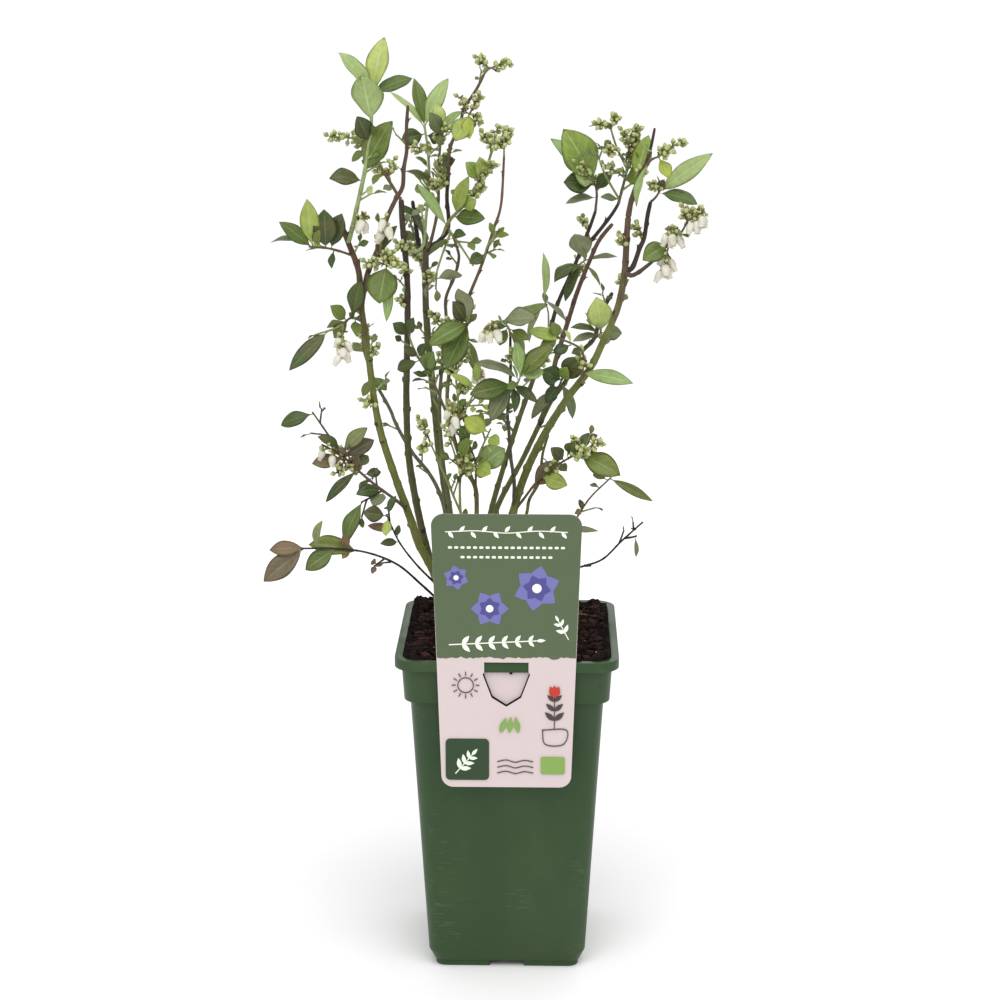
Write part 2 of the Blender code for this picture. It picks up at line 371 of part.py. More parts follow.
        bells(0.9, (-24, 92, 398), 4))),
}

COLOURS = {
    "pot": (0.055, 0.105, 0.040),
    "soil": (0.010, 0.007, 0.006),
    "card": (0.160, 0.205, 0.105),
    "cane": (0.105, 0.095, 0.050),
    "spray": (0.125, 0.200, 0.060),
}


def material(name, rough):
    """One plain material for a kind of piece."""
    made = bpy.data.materials.get(name)
    if made is None:
        made = bpy.data.materials.new(name)
        made.use_nodes = True
        shader = made.node_tree.nodes["Principled BSDF"]
        shader.inputs["Base Color"].default_value = (*COLOURS[name], 1.0)
        shader.inputs["Roughness"].default_value = rough
        shader.inputs["Metallic"].default_value = 0.0
    return made


def add_object(name, verts, faces, kind, rough=0.6):
    """An object from points in millimetres."""
    mesh = bpy.data.meshes.new(name)
    mesh.from_pydata([Vector(v) * MM for v in verts], [], faces)
    mesh.update()
    made = bpy.data.objects.new(name, mesh)
    made.data.materials.append(material(kind, rough))
    bpy.context.scene.collection.objects.link(made)
    return made


# Growth: the rule that turns the two tables into limbs, shoots, leaves and buds

def smooth(knots, step):
    """Points every step or so along one smooth curve through the knots."""
    knots = [Vector(k) for k in knots]
    line = [2 * knots[0] - knots[1], *knots, 2 * knots[-1] - knots[-2]]
    points = [knots[0]]
    for a, b, c, d in zip(line, line[1:], line[2:], line[3:]):
        count = max(1, round((c - b).length / step))
        for i in range(1, count + 1):
            t = i / count
            points.append(0.5 * (2 * b + (c - a) * t + (2 * a - 5 * b + 4 * c - d) * t * t
                                 + (3 * b - a - 3 * c + d) * t ** 3))
    return points


def along(points, share):
    """The place and heading at a share of a path's length."""
    lengths = [(b - a).length for a, b in zip(points, points[1:])]
    left = share * sum(lengths)
    for a, b, length in zip(points, points[1:], lengths):
        if left <= length or b is points[-1]:
            return a.lerp(b, min(1.0, left / length)), (b - a).normalized()
        left -= length


def socket(points, share):
    """Where a part's root is sunk into a shoot, never nearer its end than a good bite."""
    whole = sum((b - a).length for a, b in zip(points, points[1:]))
    return along(points, min(share, 1 - SUNK / whole))


def side_of(heading):
    """A steady direction square to a heading."""
    across = heading.cross(Vector((0.0, 0.0, 1.0)))
    if across.length < 0.1:
        across = heading.cross(Vector((0.0, 1.0, 0.0)))
    return across.normalized()


def tube(points, radii, sides):
    """Rings of points along a path, closed at both ends."""
    verts, faces = [], []
    side = side_of((points[1] - points[0]).normalized())
    for i, (point, radius) in enumerate(zip(points, radii)):
        ahead = points[min(i + 1, len(points) - 1)] - points[max(i - 1, 0)]
        ahead.normalize()
        side = (side - ahead * side.dot(ahead)).normalized()
        other = ahead.cross(side)
        for k in range(sides):
            turn = 2 * math.pi * k / sides
            verts.append(point + radius * (math.cos(turn) * side + math.sin(turn) * other))
    for i in range(len(points) - 1):
        for k in range(sides):
            a, b = i * sides + k, i * sides + (k + 1) % sides
            faces.append((a, b, b + sides, a + sides))
    last = (len(points) - 1) * sides
    faces.append(tuple(reversed(range(sides))))
    faces.append(tuple(last + k for k in range(sides)))
    return verts, faces


def cane_radii(points, foot, tip, flared):
    """A cane's radius at each point, wider just above the compost."""
    whole = sum((b - a).length for a, b in zip(points, points[1:]))
    run, radii = 0.0, []
    for i, point in enumerate(points):
        if i:
            run += (point - points[i - 1]).length
        radius = foot + (tip - foot) * run / whole
        radii.append(radius + foot * FLARE * math.exp(-run / FLARE_HEIGHT) * flared)
    return radii


def clear_start(points, radius, trees, gap):
    """Cuts the start of a path back to where its end disc stands clear of every tree."""
    fine = smooth(points, 0.25)
    for i, point in enumerate(fine[:-1]):
        heading = (fine[i + 1] - point).normalized()
        side = side_of(heading)
        other = heading.cross(side)
        rim = [point] + [point + radius * (math.cos(t) * side + math.sin(t) * other)
                         for t in np.linspace(0, 2 * math.pi, 12, endpoint=False)]
        if all(outside(tree, spot, gap) for tree in trees for spot in rim):
            return i, fine
    return len(fine) - 2, fine


def outside(tree, spot, gap):
    """Whether a spot lies outside a closed shape, at least gap from it."""
    place, normal, _, distance = tree.find_nearest(spot)
    return distance >= gap and (spot - place).dot(normal) > 0


def thinned(points, step):
    """Every few points of a fine path, with both its ends."""
    whole = sum((b - a).length for a, b in zip(points, points[1:]))
    count = max(2, round(whole / step))
    return [along(points, i / count)[0] for i in range(count + 1)]


def grow_limbs():
    """Every cane and bough as a path with its radii, and its solid's search tree."""
    limbs, trees = {}, {}
    for name, (start, knots, foot, tip) in CANES.items():
        if start is None:
            points = smooth(knots, CANE_STEP)
            points[0].z += GAP
        else:
            root = along(limbs[start[0]][0], start[1])[0]
            first, fine = clear_start([root, *map(Vector, knots)], foot, trees.values(), GAP + 0.05)
            points = smooth([fine[first], *knots], CANE_STEP)
        radii = cane_radii(points, foot, tip, start is None)
        verts, faces = tube(points, radii, CANE_SIDES)
        if start is None:
            for vert in verts[:CANE_SIDES]:
                vert.z = SOIL_TOP + GAP
        limbs[name] = (points, radii, verts, faces)
        trees[name] = BVHTree.FromPolygons(verts, faces)
    return limbs, trees


def leaf_piece(spray, holder, root, tip, tint, dice, rank, given=None):
    """A leaf from its root to its tip, faced up and out of the crown unless its turn is given."""
    ahead = (tip - root).normalized()
    out = Vector((tip.x - CROWN[0], tip.y - CROWN[1], 0.0)).normalized()
    loose = Vector((dice.uniform(-1, 1), dice.uniform(-1, 1), dice.uniform(-1, 1)))
    face = UPWARD * Vector((0.0, 0.0, 1.0)) + OUTWARD * out + LOOSE * loose
    piece = {"kind": "leaf", "rank": rank, "spray": spray, "holder": holder, "root": root,
             "tip": tip, "wide": dice.uniform(*LEAF_WIDE), "curl": dice.uniform(*LEAF_CURL),
             "fold": dice.uniform(*LEAF_FOLD), "tint": tint, "pick": dice.random()}
    if given:
        piece.update({key: value for key, value in given.items() if value is not None})
    if "turn" in piece:
        turn = math.radians(piece["turn"])
        front = FRONT - ahead * FRONT.dot(ahead)
        front.normalize()
        upper = ahead.cross(front)
        face = math.cos(turn) * front + math.sin(turn) * (upper if upper.z > 0 else -upper)
    piece["face"] = (face - ahead * face.dot(ahead)).normalized()
    return piece


def bloom_pieces(spray, holder, part, root, dice, rank):
    """The stalk of a raceme and the buds or bells on it."""
    kind, _, tip, count = part
    tip = Vector(tip)
    stalk = {"kind": "twig", "rank": rank, "spray": spray, "holder": holder,
             "points": [root, root.lerp(tip, 0.5) + Vector((0, 0, STALK_LIFT)), tip],
             "radii": list(STALK_RADII), "woody": False}
    heading = (tip - root).normalized()
    side = side_of(heading)
    other = heading.cross(side)
    long, wide = BELL_SIZE if kind == "bells" else BUD_SIZE
    pieces = [stalk]
    length = min(RACEME, (tip - root).length * RACEME_SHARE)
    for i in range(count):
        turn = i * GOLDEN + dice.uniform(-0.4, 0.4)
        around = math.cos(turn) * side + math.sin(turn) * other
        place = tip - heading * length * (i + 0.3) / count
        if kind == "bells":
            axis = (BELL_SWING * around + Vector((0, 0, -1.0))).normalized()
        else:
            lean = BUD_LEAN * (1 - i / count)
            axis = (around + heading * lean + Vector((0, 0, BUD_LIFT))).normalized()
        pieces.append({"kind": kind, "rank": rank + 1, "spray": spray, "holder": stalk,
                       "root": place, "axis": axis, "long": long * dice.uniform(0.85, 1.1),
                       "wide": wide * dice.uniform(0.9, 1.1), "pick": dice.random()})
    return pieces


def shoot_pieces(spray, holder, points, radius, leaves, size, tint, parts, dice, rank):
    """A shoot with its own leaves and spurs by rule, and the parts that the table names."""
    whole = sum((b - a).length for a, b in zip(points, points[1:]))
    radii = [radius * (1 - (1 - SHOOT_THIN) * i / (len(points) - 1)) for i in range(len(points))]
    shoot = {"kind": "twig", "rank": rank, "spray": spray, "holder": holder, "points": points,
             "radii": radii, "woody": radius > TWIG_RADIUS}
    pieces = [shoot]
    for part in parts:
        root, _ = socket(points, part[1])
        if part[0] == "leaf":
            pieces.append(leaf_piece(spray, shoot, root, Vector(part[2]), part[3], dice, rank + 3, part[4]))
        elif part[0] == "twig":
            _, _, tip, count, long, shade, more = part
            middle = root.lerp(Vector(tip), 0.5)
            bow = Vector((dice.uniform(-1, 1), dice.uniform(-1, 1), -0.6)) * (root - Vector(tip)).length
            path = smooth([root, middle + TWIG_BOW * bow, Vector(tip)], SHOOT_STEP)
            pieces += shoot_pieces(spray, shoot, path, TWIG_RADIUS, count, long, shade, more, dice,
                                   rank + 1)
        else:
            pieces += bloom_pieces(spray, shoot, part, root, dice, rank + 3)
    turn = dice.uniform(0, 2 * math.pi)
    for i in range(leaves):
        share = LEAF_START + (1 - LEAF_START) * (i + 0.6) / leaves
        root, heading = socket(points, share)
        turn += GOLDEN
        splay = LEAF_SPLAY[0] + (LEAF_SPLAY[1] - LEAF_SPLAY[0]) * share
        pieces.append(ruled_leaf(spray, shoot, root, heading, turn, splay,
                                 size * dice.uniform(0.8, 1.15), tint, dice, rank + 5))
    for i in range(int(whole / SPUR_SPACING)):
        root, heading = socket(points, dice.uniform(0.25, 0.95))
        pieces += spur_pieces(spray, shoot, root, heading, size, tint, dice, rank + 5)
    return pieces


def ruled_leaf(spray, holder, root, heading, turn, splay, long, tint, dice, rank):
    """A leaf set by its turn round the shoot and its splay from it, drooping a little."""
    side = side_of(heading)
    around = math.cos(turn) * side + math.sin(turn) * heading.cross(side)
    reach = (math.cos(splay) * heading + math.sin(splay) * around) * long
    reach.z -= LEAF_DROOP * long
    return leaf_piece(spray, holder, root, root + reach, tint, dice, rank)


def spur_pieces(spray, holder, root, heading, size, tint, dice, rank):
    """A short side twig with two or three small leaves."""
    turn = dice.uniform(0, 2 * math.pi)
    side = side_of(heading)
    around = math.cos(turn) * side + math.sin(turn) * heading.cross(side)
    reach = (math.cos(SPUR_SPLAY) * heading + math.sin(SPUR_SPLAY) * around) * dice.uniform(*SPUR_LENGTH)
    spur = {"kind": "twig", "rank": rank, "spray": spray, "holder": holder,
            "points": [root, root + reach], "radii": list(SPUR_RADII), "woody": False}
    pieces = [spur]
    for i in range(dice.choice(SPUR_LEAVES)):
        place, ahead = socket(spur["points"], SPUR_SOCKETS[i])
        pieces.append(ruled_leaf(spray, spur, place, ahead,
                                 turn + i * GOLDEN, math.radians(20 + 25 * i),
                                 size * dice.uniform(0.55, 0.85), tint, dice, rank + 1))
    return pieces


def spread(piece, grown):
    """The points and faces of a piece's plain shape, larger by grown on all sides."""
    if piece["kind"] == "twig":
        return tube(piece["points"], [r + grown for r in piece["radii"]], TWIG_SIDES)
    root = piece["root"]
    if piece["kind"] == "leaf":
        reach = piece["tip"] - root
        long = reach.length
        ahead, face = reach / long, piece["face"]
        side = ahead.cross(face)
        middle = root + reach * LEAF_SHOULDER
        hump = face * piece["curl"] * long * LEAF_HUMP
        ridge = root + reach * LEAF_RIDGE + 0.9 * hump
        half = 0.5 * piece["wide"] * long + grown
        thick = 0.5 * LEAF_THICK * long + grown
        belt = (middle + hump + side * half, ridge + face * thick,
                middle + hump - side * half, ridge - face * thick)
        tip = piece["tip"] + ahead * grown
    else:
        ahead = piece["axis"]
        side = side_of(ahead)
        other = ahead.cross(side)
        middle = root + ahead * piece["long"] * BLOOM_BELLY
        half = 0.5 * piece["wide"] + grown
        belt = [middle + half * (math.cos(turn) * other + math.sin(turn) * side)
                for turn in (0.0, 2 * math.pi / 3, 4 * math.pi / 3)]
        tip = root + ahead * (piece["long"] + grown)
    count = len(belt)
    faces = []
    for k in range(count):
        faces += [(0, 1 + (k + 1) % count, 1 + k), (count + 1, 1 + k, 1 + (k + 1) % count)]
    return [root, *belt, tip], faces


def block(x0, x1, y0, y1, z0, z1):
    """A box's points and faces."""
    verts = [Vector((x, y, z)) for x in (x0, x1) for y in (y0, y1) for z in (z0, z1)]
    faces = [(0, 1, 3, 2), (4, 6, 7, 5), (0, 4, 5, 1), (2, 3, 7, 6), (0, 2, 6, 4), (1, 5, 7, 3)]
    return verts, faces


def far_point(piece):
    """The point of a piece that is furthest from its root."""
    if piece["kind"] == "twig":
        return piece["points"][-1]
    if piece["kind"] == "leaf":
        return piece["tip"]
    return piece["root"] + piece["axis"] * piece["long"]


def grow_masses(limbs, trees):
    """Every mass's pieces, without those that leave its space or touch something."""
    pot_box = block(-LIP_HALF - 1, LIP_HALF + 1, -LIP_HALF - 1, LIP_HALF + 1, 0, POT_HEIGHT + 1)
    card_box = block(-CARD_TOP_HALF, CARD_TOP_HALF, CARD_BACK - CARD_THICK, CARD_BACK, CARD_FOOT,
                     CARD_TOP)
    solid = [*trees.values(), BVHTree.FromPolygons(*pot_box), BVHTree.FromPolygons(*card_box)]
    pieces, stems = [], {}
    for seed, (name, (limb, share, knots, radius, small, parts)) in enumerate(MASSES.items()):
        dice = random.Random(seed + 11)
        root = along(limbs[limb][0], share)[0]
        first, fine = clear_start([root, *map(Vector, knots)], radius, trees.values(), GAP)
        points = thinned(fine[first:], SHOOT_STEP)
        stems[name] = points
        pieces += shoot_pieces(name, None, points, radius, *small, parts, dice, 0)
    kept = []
    for piece in sorted(pieces, key=lambda each: each["rank"]):
        holder = piece["holder"]
        piece["kept"] = False
        if holder is not None and not holder["kept"]:
            continue
        tip = far_point(piece)
        if min((tip - spot).length for spot in stems[piece["spray"]]) > SPACE:
            if holder is None or piece["rank"] > 4:
                continue
        verts, faces = spread(piece, CLEAR if holder is not None else 0.0)
        probe = BVHTree.FromPolygons(verts, faces)
        low = [min(v[k] for v in verts) for k in range(3)]
        high = [max(v[k] for v in verts) for k in range(3)]
        if any(probe.overlap(tree) for tree in solid):
            continue
        if any(other["spray"] != piece["spray"] and near(low, high, other) and
               probe.overlap(other["tree"]) for other in kept):
            continue
        verts, faces = spread(piece, 0.0)
        piece.update(kept=True, tree=BVHTree.FromPolygons(verts, faces), low=low, high=high)
        kept.append(piece)
    return kept, pieces


def near(low, high, other):
    """Whether two boxes meet."""
    return all(low[k] <= other["high"][k] and high[k] >= other["low"][k] for k in range(3))


# The pot, the compost and the card

def rounded_square(half, corner, height, between=0):
    """A ring of points round a square with round corners, counter-clockwise from above."""
    ring = []
    for quarter in range(4):
        x = (half - corner) * (1, -1, -1, 1)[quarter]
        y = (half - corner) * (1, 1, -1, -1)[quarter]
        for k in range(CORNER_FACETS + 1):
            turn = math.radians(90 * (quarter + k / CORNER_FACETS))
            ring.append((x + corner * math.cos(turn), y + corner * math.sin(turn), height))
        ahead = math.radians(90 * (quarter + 1))
        for k in range(1, between + 1):
            run = 2 * (half - corner) * k / (between + 1)
            ring.append((x + corner * math.cos(ahead) - run * math.sin(ahead),
                         y + corner * math.sin(ahead) + run * math.cos(ahead), height))
    return ring


def loft(name, rings, kind, rough=0.6):
    """A closed solid through rings of equal count, from the lowest outer ring inward."""
    count = len(rings[0])
    verts = [v for ring in rings for v in ring]
    faces = [tuple(reversed(range(count)))]
    for i in range(len(rings) - 1):
        for k in range(count):
            a, b = i * count + k, i * count + (k + 1) % count
            faces.append((a, b, b + count, a + count))
    last = (len(rings) - 1) * count
    faces.append(tuple(last + k for k in range(count)))
    return add_object(name, verts, faces, kind, rough)


def cylinder(name, x, y, radius, z0, z1, kind):
    """An upright round bar with its axis at x, y."""
    rings = [[(x + radius * math.cos(t), y + radius * math.sin(t), z)
              for t in np.linspace(0, 2 * math.pi, ROUND_SIDES, endpoint=False)] for z in (z0, z1)]
    return loft(name, rings, kind)


def combine(target, others, operation, solver="EXACT"):
    """Joins or cuts a solid with a collection of others, which are then removed."""
    group = bpy.data.collections.new(target.name + "_parts")
    bpy.context.scene.collection.children.link(group)
    for other in others:
        group.objects.link(other)
    change = target.modifiers.new("combine", "BOOLEAN")
    change.operation = operation
    change.operand_type = "COLLECTION"
    change.collection = group
    change.solver = solver
    graph = bpy.context.evaluated_depsgraph_get()
    mesh = bpy.data.meshes.new_from_object(target.evaluated_get(graph))
    target.modifiers.clear()
    old, target.data = target.data, mesh
    bpy.data.meshes.remove(old)
    for other in list(others):
        shape = other.data
        bpy.data.objects.remove(other)
        bpy.data.meshes.remove(shape)
    bpy.data.collections.remove(group)
    mesh.name = target.name


def make_pot():
    """The square pot: a thin tapered wall, a collar, a hollow lip and four corner feet."""
    under = BASE_UNDER
    floor = under + BASE_THICK
    lip_foot = POT_HEIGHT - LIP_DEEP
    step = COLLAR_FOOT + WALL
    profile = (
        (BASE_HALF, CORNER - 3, under),
        (BODY_FOOT_HALF, CORNER - 1, BODY_FOOT),
        (BODY_TOP_HALF, CORNER, COLLAR_FOOT - 1.5),
        (COLLAR_FOOT_HALF, CORNER + 1, COLLAR_FOOT),
        (COLLAR_TOP_HALF, CORNER + 1.5, POT_HEIGHT - LIP_THICK),
        (LIP_HALF - LIP_THICK, CORNER + 3, POT_HEIGHT - LIP_THICK),
        (LIP_HALF - LIP_THICK, CORNER + 3, lip_foot),
        (LIP_HALF, CORNER + 4, lip_foot),
        (LIP_HALF, CORNER + 4, POT_HEIGHT - 0.8),
        (LIP_HALF - 0.8, CORNER + 3.6, POT_HEIGHT),
        (COLLAR_TOP_HALF - WALL + 0.6, CORNER + 0.5, POT_HEIGHT),
        (COLLAR_TOP_HALF - WALL, CORNER + 0.3, POT_HEIGHT - 0.6),
        (COLLAR_FOOT_HALF - WALL, CORNER - 0.2, step),
        (BODY_TOP_HALF - WALL, CORNER - WALL, step - 1.5),
        (BODY_FOOT_HALF - WALL, CORNER - 1 - WALL, BODY_FOOT),
        (BASE_HALF - WALL, CORNER - 3 - WALL, floor),
    )
    pot = loft("pot", [rounded_square(*row) for row in profile], "pot", 0.45)
    inner = FOOT_HALF - FOOT_WIDE
    sunk = under + 0.6
    foot = loft("foot_ring", [rounded_square(FOOT_HALF, CORNER - 4, 0.0),
                              rounded_square(FOOT_HALF, CORNER - 4, sunk)], "pot")
    core = loft("foot_core", [rounded_square(inner, CORNER - 6, -1.0),
                              rounded_square(inner, CORNER - 6, sunk + 1)], "pot")
    half = FOOT_SLOT / 2
    bars = [add_object("slot_x", *block(-80, 80, -half, half, -1, sunk + 1), "pot"),
            add_object("slot_y", *block(-half, half, -80, 80, -1, sunk + 1), "pot")]
    combine(foot, [core], "DIFFERENCE")
    for bar in bars:
        combine(foot, [bar], "DIFFERENCE")
    pad = cylinder("pad", 0, 0, PAD_RADIUS, 0.0, sunk, "pot")
    combine(pot, [foot, pad], "UNION")
    spots = [(DRAIN_AT * i, DRAIN_AT * j) for i in (-1, 0, 1) for j in (-1, 0, 1) if i or j]
    holes = [cylinder(f"drain_{i}", x, y, DRAIN_RADIUS, under - 1, floor + 1, "pot")
             for i, (x, y) in enumerate(spots)]
    slot = block(-SLOT_HALF, SLOT_HALF, SLOT_FRONT, SLOT_BACK, lip_foot, POT_HEIGHT + 1)
    combine(pot, [*holes, add_object("slot", *slot, "pot")], "DIFFERENCE")
    return pot


def soil_height(x, y):
    """The compost's surface: level where the canes rise, lumpy and higher towards the sides."""
    away = math.hypot(max(CROWN_FLAT[0] - x, 0, x - CROWN_FLAT[1]),
                      max(CROWN_FLAT[2] - y, 0, y - CROWN_FLAT[3]))
    rise = min(1.0, away / SOIL_BANK)
    lumps = 0.55 + 0.25 * math.sin(x * 0.19 + 1.3) + 0.2 * math.cos(y * 0.23 - x * 0.07)
    return SOIL_TOP + SOIL_SWELL * rise * rise * lumps


def make_soil():
    """The compost that fills the pot, just clear of its wall."""
    step = COLLAR_FOOT + WALL
    clear = WALL + GAP
    rows = (
        (BASE_HALF - clear, CORNER - 3 - clear, BASE_UNDER + BASE_THICK + GAP),
        (BODY_FOOT_HALF - clear, CORNER - 1 - clear, BODY_FOOT),
        (BODY_TOP_HALF - clear, CORNER - clear, step - 1.2),
        (COLLAR_FOOT_HALF - clear, CORNER - 0.5, step + GAP),
    )
    rings = [rounded_square(*row, SOIL_BETWEEN) for row in rows]
    edge = COLLAR_TOP_HALF - clear - 0.3
    for share in (1.0, 0.93, 0.74, 0.5, 0.25):
        ring = rounded_square(edge * share, CORNER * share, 0.0, SOIL_BETWEEN)
        sink = SOIL_EDGE_SINK if share == 1.0 else 0.0
        rings.append([(x, y, soil_height(x, y) - sink) for x, y, _ in ring])
    return loft("compost", rings, "soil", 0.95)


def card_half(height):
    """Half the card's width at a height."""
    return float(np.interp(height, (CARD_FOOT, POT_HEIGHT, CARD_TOP),
                           (CARD_FOOT_HALF, CARD_RIM_HALF, CARD_TOP_HALF)))


def plate(name, outline, back, thick, kind="card"):
    """A flat upright plate from an outline of x, z points that runs counter-clockwise from the front."""
    count = len(outline)
    verts = [(x, back - thick, z) for x, z in outline] + [(x, back, z) for x, z in outline]
    faces = [tuple(range(count)), tuple(reversed(range(count, 2 * count)))]
    faces += [((k + 1) % count, k, k + count, (k + 1) % count + count) for k in range(count)]
    return add_object(name, verts, faces, kind, 0.4)


def card_outline():
    """The card's outline, with round corners."""
    points = []
    for right, top in ((1, 0), (1, 1), (0, 1), (0, 0)):
        z = CARD_TOP - CARD_ROUND if top else CARD_FOOT + CARD_ROUND
        x = (card_half(z) - CARD_ROUND) * (1 if right else -1)
        start = {(1, 0): 270, (1, 1): 0, (0, 1): 90, (0, 0): 180}[(right, top)]
        points += [(x + CARD_ROUND * math.cos(math.radians(start + 18 * k)),
                    z + CARD_ROUND * math.sin(math.radians(start + 18 * k))) for k in range(6)]
    return points


def tongue_outline(grown):
    """The tongue's outline: a neck, a shield below it and a point."""
    return [(0.0, SHIELD_POINT - grown), (SHIELD_WAIST_HALF + grown, SHIELD_WAIST - 0.5 * grown),
            (SHIELD_HALF + grown, NECK_FOOT - 1.5), (NECK_HALF + grown, NECK_FOOT),
            (NECK_HALF + grown, TONGUE_HINGE), (-NECK_HALF - grown, TONGUE_HINGE),
            (-NECK_HALF - grown, NECK_FOOT), (-SHIELD_HALF - grown, NECK_FOOT - 1.5),
            (-SHIELD_WAIST_HALF - grown, SHIELD_WAIST - 0.5 * grown)]


def make_card():
    """The card, with the tongue that is cut from it and goes down behind the pot's lip."""
    card = plate("label_card", card_outline(), CARD_BACK, CARD_THICK)
    window = plate("window", tongue_outline(0.0), CARD_BACK + 1, CARD_THICK + 2)
    combine(card, [window], "DIFFERENCE")
    tongue = plate("tongue", tongue_outline(-TONGUE_CUT), TONGUE_BACK, CARD_THICK)
    half = NECK_HALF - TONGUE_CUT
    bridge = block(-half, half, CARD_BACK - CARD_THICK, TONGUE_BACK, TONGUE_HINGE - CARD_THICK * 0.4,
                   TONGUE_HINGE + CARD_THICK)
    combine(card, [tongue, add_object("bridge", *bridge, "card")], "UNION")
    return card


def largest_shell(target):
    """Keeps a solid's outer shell, without sealed hollows or loose scraps."""
    shape = bmesh.new()
    shape.from_mesh(target.data)
    left, shells = set(shape.faces), []
    while left:
        shell, front = [], [left.pop()]
        while front:
            face = front.pop()
            shell.append(face)
            for other in {f for edge in face.edges for f in edge.link_faces} & left:
                left.discard(other)
                front.append(other)
        shells.append(shell)
    shells.sort(key=len)
    loose = [face for shell in shells[:-1] for face in shell]
    bmesh.ops.delete(shape, geom=loose, context="FACES")
    shape.to_mesh(target.data)
    shape.free()


def make_mass(name, pieces):
    """One mass as one solid: its stem joined with every twig, leaf and bud on it."""
    stem = add_object(name, *spread(pieces[0], 0.0), "spray")
    rest = [add_object(f"{name}_{i}", *spread(piece, 0.0), "spray")
            for i, piece in enumerate(pieces[1:])]
    if rest:
        combine(stem, rest, "UNION")
        largest_shell(stem)
    return stem


def main():
    for old in list(bpy.data.objects):
        bpy.data.objects.remove(old)
    make_pot()
    make_soil()
    make_card()
    limbs, trees = grow_limbs()
    for name, (_, _, verts, faces) in limbs.items():
        add_object(name, verts, faces, "cane", 0.7)
    kept, _ = grow_masses(limbs, trees)
    for name in MASSES:
        pieces = [piece for piece in kept if piece["spray"] == name]
        if pieces:
            make_mass(name, pieces)


main()
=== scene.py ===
# The looks of a young highbush blueberry in its nursery pot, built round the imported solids.
# Metres in Blender, +Z up. Tables and shapes are worked out in millimetres and scaled as they are made.

import math
import random

import bpy
import numpy as np
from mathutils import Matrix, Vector, noise
from mathutils.bvhtree import BVHTree


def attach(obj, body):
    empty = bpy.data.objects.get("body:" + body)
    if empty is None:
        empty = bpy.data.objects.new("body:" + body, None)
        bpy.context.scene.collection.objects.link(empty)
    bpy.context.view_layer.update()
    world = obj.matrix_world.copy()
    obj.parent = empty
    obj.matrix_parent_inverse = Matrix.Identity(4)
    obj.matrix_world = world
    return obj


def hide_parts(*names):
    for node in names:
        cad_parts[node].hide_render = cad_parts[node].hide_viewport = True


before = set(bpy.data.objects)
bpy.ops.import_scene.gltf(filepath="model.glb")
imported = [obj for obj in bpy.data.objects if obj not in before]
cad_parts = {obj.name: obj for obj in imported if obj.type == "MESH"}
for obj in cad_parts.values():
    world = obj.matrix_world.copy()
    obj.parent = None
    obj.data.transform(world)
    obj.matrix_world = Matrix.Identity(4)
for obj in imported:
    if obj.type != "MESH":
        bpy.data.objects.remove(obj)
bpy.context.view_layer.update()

MM = 0.001
GAP = 0.3  # left between solids that meet
# Where each run of random numbers starts
SEEDS = {"masses": 11, "finer": 700, "tufts": 400, "scales": 90, "bark": 31, "compost": 5, "print": 3}

# The camera of the photograph, and where its light comes from
CAMERA_AT = (0.0277, -1.5255, 0.6984)
CAMERA_DOWN = 0.242  # radians below level
CAMERA_ROLL = 0.022
LENS = 82.76
SENSOR = 36.0
SKY = 0.78
# Each soft light: its place, what it faces, its side, its power
LIGHTS = {
    "key": ((-1.0, -1.7, 1.5), (0.0, 0.0, 0.35), 1.1, 9.0),
    "back": ((0.3, 1.6, 1.3), (0.0, 0.0, 0.35), 1.3, 5.0),
}
SUN = 1.5
SUN_SPREAD = 50.0  # degrees that the high light is spread over
SUN_TURN = (28.0, 8.0)  # degrees that it leans from upright, and turns
FLOOR_HALF = 30.0

# The pot
POT_HEIGHT = 229.2
WALL = 1.2
LIP_HALF = 75.0
LIP_DEEP = 6.8
LIP_THICK = 1.4
COLLAR_TOP_HALF = 70.8
COLLAR_FOOT_HALF = 69.0
COLLAR_FOOT = 198.5
BODY_TOP_HALF = 65.0
BODY_FOOT_HALF = 54.2
BODY_FOOT = 12.0
BASE_HALF = 50.6
BASE_UNDER = 4.5
BASE_THICK = 1.5
CORNER = 11.0
CORNER_FACETS = 9
STRAIGHT_FACETS = 7
EDGE_ROUND = 0.55
FOOT_HALF = 49.5
FOOT_WIDE = 3.2
FOOT_SLOT = 24.0
PAD_RADIUS = 9.0
DRAIN_RADIUS = 4.5
DRAIN_AT = 29.0
ROUND_SIDES = 24

# The compost
SOIL_TOP = 221.0
SOIL_SWELL = 9.0
CROWN = (-25.0, 4.0)  # where the canes rise
CROWN_FLAT = (-54.0, 22.0, -30.0, 38.0)
SOIL_BANK = 16.0
SOIL_CELL = 1.1
SOIL_EDGE = 69.0
LUMP_HEIGHT = 2.6
SOIL_BANKED = 4.6  # how much higher the crumbs lie along the pot's wall
CRUMBS = 1700
CLODS = 150  # larger lumps, thicker towards the rim
SHREDS = 210
STRAWS = 26  # pale shreds in the rear right corner
GRAINS = 56

# The label card and its tongue
CARD_BACK = -75.4
CARD_THICK = 0.5
CARD_TOP = 331.0
CARD_FOOT = 142.3
CARD_TOP_HALF = 49.6
CARD_RIM_HALF = 45.8
CARD_FOOT_HALF = 43.2
CARD_ROUND = 8.0
TONGUE_BACK = -72.15
TONGUE_HINGE = 230.0
NECK_HALF = 14.7
NECK_FOOT = 223.0
SHIELD_HALF = 15.8
SHIELD_WAIST_HALF = 9.8
SHIELD_WAIST = 205.2
SHIELD_POINT = 198.9
TONGUE_CUT = 0.6
SLOT_HALF = 15.6
SLOT_FRONT = -73.3
SLOT_BACK = -71.1
CARD_SPLIT = 233.0  # where the green ground of the print ends
INK = 0.12  # how far each layer of print stands proud of the one below
INK_STEP = 0.001  # and each mark of one layer proud of the mark before it

